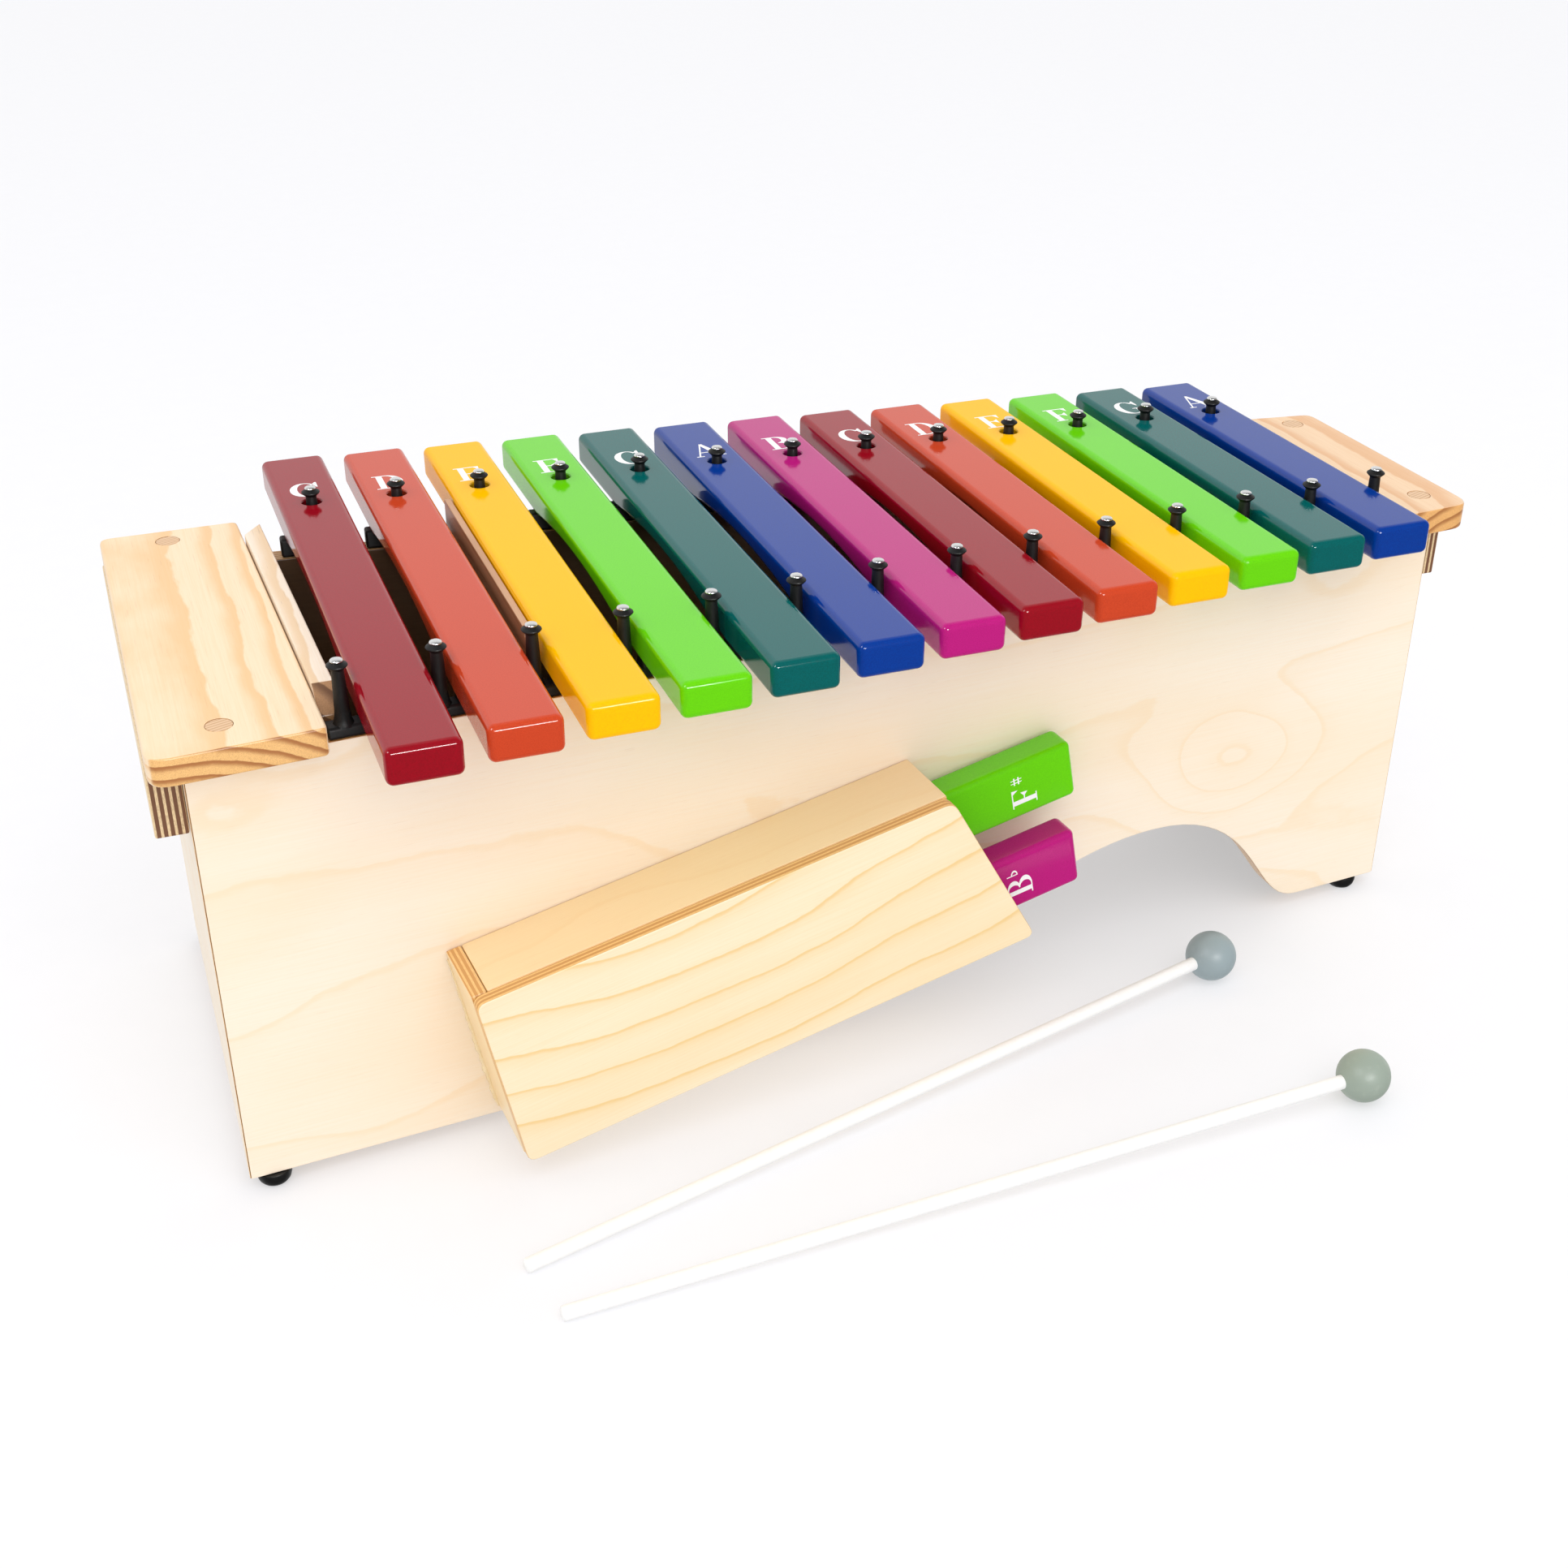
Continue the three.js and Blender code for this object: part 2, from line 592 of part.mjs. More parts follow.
// The front board lies in the uv plane over the edges of the others, its right edge cut at a slant.
function rackFront() {
  const round = 6;
  const board = new THREE.Shape().moveTo(0, -round);
  board.lineTo(0, round - RACK_HEIGHT);
  board.quadraticCurveTo(0, -RACK_HEIGHT, round, -RACK_HEIGHT);
  board.lineTo(RACK_BOTTOM_LENGTH - round, -RACK_HEIGHT);
  const slantFoot = [lengthAt(RACK_HEIGHT - round), round - RACK_HEIGHT];
  board.quadraticCurveTo(RACK_BOTTOM_LENGTH, -RACK_HEIGHT, ...slantFoot);
  board.lineTo(lengthAt(round), -round);
  board.quadraticCurveTo(RACK_TOP_LENGTH, 0, RACK_TOP_LENGTH - round, 0);
  board.lineTo(round, 0);
  board.quadraticCurveTo(0, 0, 0, -round);
  const depth = RACK_PLY;
  const geometry = new THREE.ExtrudeGeometry(board, { depth, bevelEnabled: false, curveSegments: 4 });
  return geometry.rotateX(Math.PI / 2).translate(0, -innerW, 0);
}

const boardW = [FIT_GAP, innerW - FIT_GAP];
const bottomV = [RACK_HEIGHT - RACK_PLY, RACK_HEIGHT];
place(rack, "rack_top", rackBox([insideU, RACK_TOP_LENGTH], [0, RACK_PLY], boardW), BIRCH);
place(rack, "rack_front", rackFront(), BIRCH);
place(rack, "rack_bottom", rackBox([insideU, RACK_BOTTOM_LENGTH - 6], bottomV, boardW), BIRCH);
place(rack, "rack_end", rackBox([0, RACK_PLY], [0, RACK_HEIGHT], boardW), BIRCH);
place(
  rack,
  "rack_divider",
  rackBox([insideU, lengthAt(DIVIDER_V) - 8], [DIVIDER_V, DIVIDER_V + RACK_PLY], boardW),
  BIRCH,
);

// A spare bar lies on its edge along the rack, its struck face forwards and its hole at the inner end.
function spareBar(length, archShare) {
  const bar = barGeometry(length, archDepthAt(archShare), SPARE_HOLE_SHARE * length);
  return bar.rotateZ(-Math.PI / 2).rotateX(Math.PI / 2);
}

SPARES.forEach(({ note, length, endU, faceW, boardV, archShare }) => {
  const middleV = boardV - SPARE_GAP - BAR_WIDTH / 2;
  const bar = place(rack, `spare_bar_${note}`, spareBar(length, archShare), satin(NOTE_COLOUR[note]));
  bar.position.set(endU - length, -faceW, -middleV);
});

// ---------------------------------------------------------------- mallets
MALLETS.forEach(({ name, ball, tip, ballRadius, colour }) => {
  const centre = new THREE.Vector3(ball[0], ball[1], ballRadius);
  const end = new THREE.Vector3(tip[0], tip[1], STICK_RADIUS + 0.2);
  const mallet = new THREE.Group();
  mallet.position.copy(centre);
  mallet.quaternion.setFromUnitVectors(new THREE.Vector3(0, 0, 1), end.clone().sub(centre).normalize());
  root.add(mallet);
  const length = centre.distanceTo(end);
  const chamfer = 1.2;
  const stickProfile = [
    [0, FIT_GAP],
    [STICK_RADIUS, FIT_GAP],
    [STICK_RADIUS, length - chamfer],
    [STICK_RADIUS - chamfer, length],
    [0, length],
  ];
  place(mallet, `${name}_stick`, turned(stickProfile, 16), STICK);
  const bore = uprightCylinder(STICK_RADIUS + FIT_GAP, 0, 2 * ballRadius, 16);
  const sphere = new THREE.SphereGeometry(ballRadius, 20, 14).rotateX(Math.PI / 2);
  place(mallet, `${name}_head`, cut(sphere, bore), satin(colour));
});

// ---------------------------------------------------------------- origin: bottom centre of the whole
root.updateMatrixWorld(true);
const bounds = new THREE.Box3().setFromObject(root, true);
const centre = bounds.getCenter(new THREE.Vector3());
root.children.forEach((child) => {
  child.position.sub(new THREE.Vector3(centre.x, centre.y, bounds.min.z));
});

export default root;
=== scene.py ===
"""Looks of a diatonic alto xylophone: painted bars, lacquered woods, rubber rests, steel nail heads."""

import math

import bmesh
import bpy
from mathutils import Matrix, Vector
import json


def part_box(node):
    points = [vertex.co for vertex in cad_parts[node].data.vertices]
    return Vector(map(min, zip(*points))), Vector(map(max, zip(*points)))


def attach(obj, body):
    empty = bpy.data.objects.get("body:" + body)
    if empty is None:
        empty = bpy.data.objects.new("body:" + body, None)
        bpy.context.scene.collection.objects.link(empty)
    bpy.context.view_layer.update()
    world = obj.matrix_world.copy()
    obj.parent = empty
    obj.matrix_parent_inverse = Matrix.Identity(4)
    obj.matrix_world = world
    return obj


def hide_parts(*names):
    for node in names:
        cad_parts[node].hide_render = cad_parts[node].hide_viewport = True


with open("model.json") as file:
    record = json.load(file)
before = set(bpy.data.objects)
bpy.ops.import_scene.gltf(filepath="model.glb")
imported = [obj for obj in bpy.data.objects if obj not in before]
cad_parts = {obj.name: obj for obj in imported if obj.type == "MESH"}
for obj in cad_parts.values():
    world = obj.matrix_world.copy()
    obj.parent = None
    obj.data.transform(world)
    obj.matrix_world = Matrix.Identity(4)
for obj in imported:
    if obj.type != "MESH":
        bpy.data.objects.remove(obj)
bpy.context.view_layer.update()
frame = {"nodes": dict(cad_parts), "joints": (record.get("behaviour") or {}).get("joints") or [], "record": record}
MM = 0.001
NODES = frame["nodes"]
BODY_OF = {n: body for body, nodes in frame["record"]["behaviour"]["bodies"].items() for n in nodes}
SLOT_OF = {part["node"]: part["material_slot"] for part in frame["record"]["subparts"]}
X_AXIS, Y_AXIS, Z_AXIS = Vector((1, 0, 0)), Vector((0, 1, 0)), Vector((0, 0, 1))


# ---------------------------------------------------------------- directions taken from the frame
def outer_face_slope(node, outward):
    """How much a long panel's outer face moves in y for each metre in x."""
    corners = [v.co for v in NODES[node].data.vertices]
    left = min(c.x for c in corners)
    right = max(c.x for c in corners)

    def outer_y(at_x):
        return outward * max(outward * c.y for c in corners if abs(c.x - at_x) < 1 * MM)

    return (outer_y(right) - outer_y(left)) / (right - left)


FRONT_SLOPE = outer_face_slope("front_panel", -1)
REAR_SLOPE = outer_face_slope("rear_panel", 1)
FRONT_ALONG = Vector((1, FRONT_SLOPE, 0)).normalized()
REAR_ALONG = Vector((1, REAR_SLOPE, 0)).normalized()
FRONT_OUT = Vector((FRONT_SLOPE, -1, 0)).normalized()
REAR_OUT = Vector((-REAR_SLOPE, 1, 0)).normalized()
RACK_ALONG = Vector(next(j["axis"] for j in frame["joints"] if j["name"] == "slide_spare_bar_f_sharp"))
RACK_UP = FRONT_OUT.cross(RACK_ALONG).normalized()


def corner(node):
    """The lowest corner of a node's box."""
    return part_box(node)[0]


def centre(node):
    low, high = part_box(node)
    return (low + high) / 2


def reach(node, direction):
    """The lowest and highest place of a node's mesh along a direction."""
    places = [direction.dot(v.co) for v in NODES[node].data.vertices]
    return min(places), max(places)


# ---------------------------------------------------------------- material building blocks
def srgb(code):
    """A hex colour as the linear values that shader sockets take."""
    channels = [int(code[i : i + 2], 16) / 255 for i in (1, 3, 5)]
    linear = [c / 12.92 if c <= 0.04045 else ((c + 0.055) / 1.055) ** 2.4 for c in channels]
    return (*linear, 1.0)


class Shader:
    """One material's node tree. Each method adds a node and returns its output socket."""

    def __init__(self, name):
        self.material = bpy.data.materials.new(name)
        self.material.use_nodes = True
        self.tree = self.material.node_tree
        self.surface = self.tree.nodes["Principled BSDF"]
        self.place = self.add("ShaderNodeTexCoord").outputs["Object"]
        self.normal = self.add("ShaderNodeNewGeometry").outputs["Normal"]

    def add(self, kind, inputs=(), **settings):
        node = self.tree.nodes.new(kind)
        for key, value in settings.items():
            setattr(node, key, value)
        for key, value in dict(inputs).items():
            self.feed(node.inputs[key], value)
        return node

    def feed(self, socket, value):
        if isinstance(value, bpy.types.NodeSocket):
            self.tree.links.new(value, socket)
        else:
            socket.default_value = value

    def math(self, operation, a, b=0.0, c=0.0):
        return self.add("ShaderNodeMath", {0: a, 1: b, 2: c}, operation=operation).outputs[0]

    def dot(self, a, b):
        return self.add("ShaderNodeVectorMath", {0: a, 1: b}, operation="DOT_PRODUCT").outputs["Value"]

    def vector(self, x, y, z):
        return self.add("ShaderNodeCombineXYZ", {0: x, 1: y, 2: z}).outputs[0]

    def noise(self, vector, scale, detail=2.0, roughness=0.5, distortion=0.0):
        inputs = {
            "Vector": vector,
            "Scale": scale,
            "Detail": detail,
            "Roughness": roughness,
            "Distortion": distortion,
        }
        return self.add("ShaderNodeTexNoise", inputs).outputs["Fac"]

    def smooth(self, value, low, high, out_low=0.0, out_high=1.0):
        inputs = {"Value": value, "From Min": low, "From Max": high, "To Min": out_low, "To Max": out_high}
        node = self.add("ShaderNodeMapRange", inputs, interpolation_type="SMOOTHSTEP")
        return node.outputs["Result"]

    def mix(self, share, a, b):
        node = self.add("ShaderNodeMix", data_type="RGBA")
        for socket, value in ((node.inputs[0], share), (node.inputs[6], a), (node.inputs[7], b)):
            self.feed(socket, srgb(value) if isinstance(value, str) else value)
        return node.outputs[2]

    def bump(self, height, strength, distance):
        inputs = {"Height": height, "Strength": strength, "Distance": distance}
        return self.add("ShaderNodeBump", inputs).outputs["Normal"]

    def along(self, direction, origin):
        """Distance from origin along a direction, in millimetres."""
        metres = self.math("SUBTRACT", self.dot(self.place, tuple(direction)), direction.dot(origin))
        return self.math("MULTIPLY", metres, 1 / MM)

    def facing(self, direction, low=0.55, high=0.8):
        """1 on faces that look along the direction or against it, and 0 on the others."""
        lean = self.math("ABSOLUTE", self.dot(self.normal, tuple(direction)))
        return self.smooth(lean, low, high)

    def finish(self, **sockets):
        for key, value in sockets.items():
            value = srgb(value) if isinstance(value, str) else value
            self.feed(self.surface.inputs[key.replace("_", " ")], value)
        return self.material


# ---------------------------------------------------------------- woods
class Board:
    """A board's directions in a shader, in millimetres: u along the grain, v across it, w through it."""

    def __init__(self, shader, origin, axes, seed):
        self.shader = shader
        self.seed = seed
        self.u, self.v, self.w = (shader.along(axis, origin) for axis in axes)

    def noise(self, waves, shift=0, **settings):
        """Noise with its own number of waves a millimetre along u, v and w."""
        s = self.shader
        pairs = zip((self.u, self.v, self.w), waves)
        place = [s.math("MULTIPLY_ADD", part, count, self.seed + shift) for part, count in pairs]
        return s.noise(s.vector(*place), 1.0, **settings)


class Lines:
    """A veneer's growth lines: gap is the millimetres between them, wander how many gaps they stray.

    sweep is how many millimetres they bend up at SWEEP_SPAN from the board's origin, and eye is the middle
    of an oval knot, in millimetres from that origin.
    """

    def __init__(self, strength, gap, wander, sweep=0.0, eye=None):
        self.strength = strength
        self.gap = gap
        self.wander = wander
        self.sweep = sweep
        self.eye = eye


SWEEP_SPAN = 100.0
EYE_REACH = (58.0, 42.0)
EYE_RINGS = 3.0
PLAIN_LINES = Lines(0.35, 40.0, 2.0)
PANEL_LINES = Lines(0.35, 75.0, 4.2)
EYED_LINES = Lines(0.4, 75.0, 3.0, eye=(649.0, 122.0))
RACK_LINES = Lines(0.8, 27.0, 1.4, sweep=8.0)


def knot(board, eye):
    """1 in the middle of an oval, falling smoothly to 0 outside it."""
    s = board.shader
    off_u = s.math("DIVIDE", s.math("SUBTRACT", board.u, eye[0]), EYE_REACH[0])
    off_v = s.math("DIVIDE", s.math("SUBTRACT", board.v, eye[1]), EYE_REACH[1])
    off = s.math("ADD", s.math("MULTIPLY", off_u, off_u), s.math("MULTIPLY", off_v, off_v))
    return s.math("EXPONENT", s.math("MULTIPLY", off, -1.0))


def growth_lines(board, lines):
    """Thin jagged lines, each with a soft shade on one side, from 0 to 1."""
    s = board.shader
    wander = board.noise((0.0045, 0.009, 0.0), detail=1.5, distortion=0.3)
    jag = board.noise((0.035, 0.05, 0.0), 1, detail=3, roughness=0.6)
    away = s.math("DIVIDE", board.u, SWEEP_SPAN)
    swept = s.math("MULTIPLY_ADD", s.math("MULTIPLY", away, away), -lines.sweep, board.v)
    drift = s.math("MULTIPLY_ADD", jag, 0.16, s.math("DIVIDE", swept, lines.gap))
    if lines.eye:
        drift = s.math("MULTIPLY_ADD", knot(board, lines.eye), EYE_RINGS, drift)
    ring = s.math("FRACT", s.math("MULTIPLY_ADD", wander, lines.wander, drift))
    ring_end = s.smooth(ring, 1.0, 0.97)
    crisp = s.math("MULTIPLY", s.smooth(ring, 0.87, 0.95), ring_end)
    halo = s.math("MULTIPLY", s.smooth(ring, 0.5, 0.95), ring_end)
    return s.math("MULTIPLY_ADD", crisp, 0.65, s.math("MULTIPLY", halo, 0.3))


def veneer(board, lines, fibre, pale, line, fleck):
    """A sheet of rotary-cut birch: growth lines, fine fibres, short dark flecks and large pale clouds."""
    s = board.shader
    flecks = s.smooth(board.noise((0.07, 1.9, 0.0), 9, detail=1), 0.68, 0.8)
    cloud = board.noise((0.004, 0.014, 0.0), 5, detail=2)
    face = s.mix(s.math("MULTIPLY", growth_lines(board, lines), lines.strength), pale, line)
    face = s.mix(s.smooth(fibre, 0.3, 0.75, 0.0, 0.2), face, line)
    face = s.mix(s.math("MULTIPLY", flecks, 0.16), face, fleck)
    return s.mix(s.smooth(cloud, 0.35, 0.7, 0.0, 0.22), face, line)


def ply_edge(board, layer, ends, light, dark):
    """The stack of light and dark layers, each one layer thick, that shows on a plywood edge."""
    s = board.shader
    wobble = s.math("MULTIPLY", board.noise((0.02, 0.02, 0.0)), 0.35)
    ply = s.math("FRACT", s.math("DIVIDE", s.math("ADD", board.w, wobble), 2 * layer))
    dark_ply = s.math("MULTIPLY", s.smooth(ply, 0.36, 0.42), s.smooth(ply, 1.0, 0.95))
    edge = s.mix(dark_ply, light, dark)
    return s.mix(s.smooth(ends, 0.35, 0.7, 0.0, 0.45), edge, dark)


def plywood(name, origin, axes, tones, seed=0.0, lines=PLAIN_LINES, layer=1.45, painted_inside_shade=False):
    """Veneer on the faces and its layers on the edges; when asked, the inner face gets dark brown tones as painted
    shade of the box's dark inside.
    """
    s = Shader(name)
    board = Board(s, origin, axes, seed)
    pale, line, edge_light, edge_dark = tones
    fibre = board.noise((0.012, 0.9, 0.0), 3, detail=4, roughness=0.65)
    ends = board.noise((0.5, 0.5, 2.0), detail=4, roughness=0.7)
    face = veneer(board, lines, fibre, pale, line, edge_dark)
    edge = ply_edge(board, layer, ends, edge_light, edge_dark)
    through = axes[2]
    if painted_inside_shade:
        # painted shade: faces that look into the box are darkened to stand in for the shade inside it
        inward = s.smooth(s.dot(s.normal, tuple(-through)), 0.5, 0.8)
        face = s.mix(inward, face, s.mix(fibre, *INSIDE_SHADE_TONES))
    relief = s.math("MULTIPLY_ADD", fibre, 0.6, s.math("MULTIPLY", ends, 0.3))
    return s.finish(
        Base_Color=s.mix(s.facing(through), edge, face),
        Roughness=s.smooth(fibre, 0.3, 0.7, 0.36, 0.48),
        Normal=s.bump(relief, 0.12, 0.0004),
        Coat_Weight=0.25,
        Coat_Roughness=0.3,
    )


def late_wood(board, pith, spacing, wave):
    """The dark part of each growth ring round a pith at (v, w), from 0 to 1."""
    s = board.shader
    bend = board.noise((0.009, 0.004, 0.004), detail=2.4, roughness=0.5)
    jag = board.noise((0.03, 0.08, 0.08), 2, detail=3, roughness=0.6)
    off_v = s.math("SUBTRACT", board.v, pith[0])
    off_w = s.math("SUBTRACT", board.w, pith[1])
    squares = s.math("ADD", s.math("POWER", off_v, 2.0), s.math("POWER", off_w, 2.0))
    place = s.math("MULTIPLY_ADD", bend, wave, s.math("DIVIDE", s.math("SQRT", squares), spacing))
    ring = s.math("FRACT", s.math("MULTIPLY_ADD", jag, 0.3, place))
    return s.math("MULTIPLY", s.smooth(ring, 0.42, 0.86), s.smooth(ring, 1.0, 0.93))


def solid_wood(name, origin, axes, tones, pith, spacing, wave, seed=0.0, end_lean=0.6):
    """Growth rings round a far-off pith, so that faces show wavy bands and ends show arcs."""
    s = Shader(name)
    board = Board(s, origin, axes, seed)
    pale, band, end_pale, end_band = tones
    late = late_wood(board, pith, spacing, wave)
    fibre = board.noise((0.02, 1.1, 1.1), 4, detail=4, roughness=0.65)
    resin = s.smooth(board.noise((0.05, 1.6, 1.6), 8, detail=1), 0.68, 0.78)
    side = s.mix(s.math("MULTIPLY", late, 0.85), pale, band)
    side = s.mix(s.smooth(fibre, 0.35, 0.75, 0.0, 0.25), side, band)
    side = s.mix(s.math("MULTIPLY", resin, 0.2), side, end_band)
    pores = s.noise(s.place, 1900.0, detail=2, roughness=0.7)
    end = s.mix(late, end_pale, end_band)
    end = s.mix(s.smooth(pores, 0.4, 0.72, 0.0, 0.4), end, end_band)
    return s.finish(
        Base_Color=s.mix(s.facing(axes[0], end_lean - 0.1, end_lean + 0.1), side, end),
        Roughness=s.smooth(fibre, 0.3, 0.7, 0.34, 0.46),
        Normal=s.bump(s.math("MULTIPLY_ADD", fibre, 0.5, late), 0.1, 0.0004),
        Coat_Weight=0.3,
        Coat_Roughness=0.25,
    )


# ---------------------------------------------------------------- paint, rubber, steel and the like
def bar_paint(name, colour, shade, coat=1.0):
    """Smooth gloss paint over fine sparkle: a clear coat gives the haze and the crisp highlights."""
    s = Shader(name)
    grain = s.noise(s.place, 1500.0, detail=2, roughness=0.8)
    cloud = s.noise(s.place, 9.0, detail=3)
    paint = s.mix(s.smooth(grain, 0.35, 0.7), colour, shade)
    paint = s.mix(s.smooth(cloud, 0.3, 0.7, 0.0, 0.12), paint, shade)
    peel = s.noise(s.place, 420.0, detail=1)
    return s.finish(
        Base_Color=paint,
        Roughness=0.6,
        Specular_IOR_Level=0.0,
        Coat_Weight=coat,
        Coat_IOR=1.5,
        Coat_Roughness=s.smooth(grain, 0.3, 0.75, 0.08, 0.16),
        Coat_Normal=s.bump(s.math("MULTIPLY_ADD", grain, 0.6, peel), 0.03, 0.0003),
    )


def rubber(name, colour, shade, roughness):
    s = Shader(name)
    grain = s.noise(s.place, 1300.0, detail=3, roughness=0.7)
    dust = s.smooth(s.noise(s.place, 160.0, detail=3), 0.55, 0.8)
    return s.finish(
        Base_Color=s.mix(s.math("MULTIPLY", dust, 0.5), colour, shade),
        Roughness=s.smooth(grain, 0.3, 0.7, roughness - 0.08, roughness + 0.08),
        Normal=s.bump(grain, 0.18, 0.0003),
    )


def steel(name):
    s = Shader(name)
    scuff = s.noise(s.place, 900.0, detail=3, roughness=0.7)
    return s.finish(
        Base_Color=s.mix(scuff, "#fbfbfa", "#e6e7e8"),
        Metallic=1.0,
        Roughness=s.smooth(scuff, 0.3, 0.7, 0.22, 0.4),
        Normal=s.bump(scuff, 0.08, 0.0002),
    )


def letter_ink(name):
    s = Shader(name)
    grain = s.noise(s.place, 1400.0, detail=2)
    return s.finish(Base_Color=s.mix(grain, "#ffffff", "#f1eff0"), Roughness=0.45)


def glue(name):
    s = Shader(name)
    ripple = s.noise(s.place, 260.0, detail=2)
    return s.finish(
        Base_Color=s.mix(ripple, "#fbe9c4", "#f0d5a0"),
        Roughness=0.18,
        Normal=s.bump(ripple, 0.3, 0.0006),
    )


PAINTS = {
    "bar_red": bar_paint("bar_red", "#9c0a1d", "#8a0818"),
    "bar_orange": bar_paint("bar_orange", "#cf4725", "#c34020"),
    "bar_yellow": bar_paint("bar_yellow", "#ffc200", "#fab700", coat=0.6),
    "bar_green": bar_paint("bar_green", "#6cd608", "#61ca06"),
    "bar_teal": bar_paint("bar_teal", "#006260", "#005654"),
    "bar_blue": bar_paint("bar_blue", "#043b98", "#033288"),
    "bar_magenta": bar_paint("bar_magenta", "#c01c7e", "#b11672"),
}
BIRCH_TONES = ("#fef0dc", "#f9daac", "#f6d7a2", "#c08a4e")
RACK_TONES = ("#fdeac8", "#f1ca80", "#f8cd84", "#d69a50")
RACK_SIDE_TONES = ("#fee4b4", "#f8d69c", "#fbd08a", "#da9e54")
BATTEN_TONES = ("#f3d9ae", "#e5c08a", "#f2d6a6", "#7d5236")
LEFT_PINE_TONES = ("#fae0bc", "#f1c286", "#f8c47c", "#b5743a")
RIGHT_PINE_TONES = ("#f3d0a8", "#e4ad78", "#f0b56c", "#b5753a")
DEAL_TONES = ("#d0a078", "#b6845c", "#b07e56", "#654430")
FENCE_TONES = ("#f8e8d4", "#ecc89a", "#c08f60", "#7f5636")
PLUG_TONES = ("#e8c298", "#c79563", "#cf9c68", "#9a6c44")
# painted shade: dark browns for the box's dark inside, used on the panels' inner faces and the bottom board
INSIDE_SHADE_TONES = ("#86684a", "#6d5238")
RUBBER = rubber("black_rubber", "#0b0b0c", "#1d1d1e", 0.5)
STEEL = steel("bright_steel")
INK = letter_ink("white_letter")
GLUE = glue("dried_glue")


# ---------------------------------------------------------------- mesh building blocks
def add_object(name, mesh, material, body):
    obj = bpy.data.objects.new(name, mesh)
    bpy.context.scene.collection.objects.link(obj)
    obj.data.materials.clear()
    obj.data.materials.append(material)
    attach(obj, body)
    return obj


def bake_modifiers(obj):
    """Puts the result of the modifiers into the mesh."""
    depsgraph = bpy.context.evaluated_depsgraph_get()
    mesh = bpy.data.meshes.new_from_object(obj.evaluated_get(depsgraph))
    obj.modifiers.clear()
    obj.data = mesh


def shade(obj, sharp_degrees=38):
    """Smooth shading that keeps flat faces flat and hard edges hard."""
    obj.data.polygons.foreach_set("use_smooth", [True] * len(obj.data.polygons))
    obj.data.set_sharp_from_angle(angle=math.radians(sharp_degrees))
    weighted = obj.modifiers.new("even_normals", "WEIGHTED_NORMAL")
    weighted.keep_sharp = True
    bake_modifiers(obj)


def softened(node, material, radius=0.0, segments=3):
    """A piece with a CAD node's own shape and its edges rounded over, shown in that node's place."""
    source = NODES[node].data
    work = bmesh.new()
    work.from_mesh(source)
    bmesh.ops.remove_doubles(work, verts=work.verts, dist=0.005 * MM)
    flat = math.radians(0.5)
    bmesh.ops.dissolve_limit(work, angle_limit=flat, verts=work.verts, edges=work.edges)
    mesh = bpy.data.meshes.new(node + "_skin")
    work.to_mesh(mesh)
    work.free()
    obj = add_object(node + "_skin", mesh, material, BODY_OF[node])
    if radius:
        bevel = obj.modifiers.new("soft_edges", "BEVEL")
        bevel.width = radius
        bevel.segments = segments
        bevel.limit_method = "ANGLE"
        bevel.angle_limit = math.radians(30)
        bake_modifiers(obj)
    shade(obj)
    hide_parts(node)


def bridge(work, lower, upper, sides):
    """Adds the faces between two loops of corners, either of which may be a single corner."""
    for k in range(sides):
        after = (k + 1) % sides
        corners = [lower[k % len(lower)], lower[after % len(lower)]]
        corners += [upper[after % len(upper)], upper[k % len(upper)]]
        work.faces.new(list(dict.fromkeys(corners)))


def finished(name, work):
    """Turns a closed bmesh's faces outwards and makes it a mesh."""
    bmesh.ops.recalc_face_normals(work, faces=work.faces)
    mesh = bpy.data.meshes.new(name)
    work.to_mesh(mesh)
    work.free()
    return mesh


def turned(name, profile, segments):
    """A mesh turned round z from (radius, height) pairs, which start and end on the axis."""
    work = bmesh.new()
    rings = []
    for radius, height in profile:
        angles = [2 * math.pi * k / segments for k in range(segments if radius else 1)]
        rings.append([work.verts.new((radius * math.cos(a), radius * math.sin(a), height)) for a in angles])
    for lower, upper in zip(rings, rings[1:]):
        bridge(work, lower, upper, segments)
    return finished(name, work)


def lathe(name, profile, segments, material, body, place, axis=Z_AXIS, sharp=45):
    """A turned piece from (radius, height) pairs in millimetres, standing at a place along an axis."""
    mesh = turned(name, [(radius * MM, height * MM) for radius, height in profile], segments)
    turn = Z_AXIS.rotation_difference(axis).to_matrix().to_4x4()
    mesh.transform(Matrix.Translation(place) @ turn)
    obj = add_object(name, mesh, material, body)
    shade(obj, sharp)
    return obj


def prism(name, outline, depth):
    """A closed mesh from an outline in its own xy plane, raised along z."""
    work = bmesh.new()
    low = [work.verts.new((x, y, 0)) for x, y in outline]
    high = [work.verts.new((x, y, depth)) for x, y in outline]
    work.faces.new(low[::-1])
    work.faces.new(high)
    bridge(work, low, high, len(outline))
    return finished(name, work)


def helper(name, mesh, place=(0, 0, 0)):
    """An object that a boolean or a modifier needs for a while, and that is removed after use."""
    obj = bpy.data.objects.new(name, mesh)
    obj.location = place
    bpy.context.scene.collection.objects.link(obj)
    return obj


# ---------------------------------------------------------------- bars
ARCH_FROM, ARCH_TO = 0.26, 0.76
ARCH_STEPS = 28
ARCH_FULLNESS = 0.8
BAR_ROUNDING = 4.2 * MM
HOLE_RADIUS = 6 * MM
HOLE_FLARE = 0.7 * MM
DRILL_OVERRUN = 1 * MM


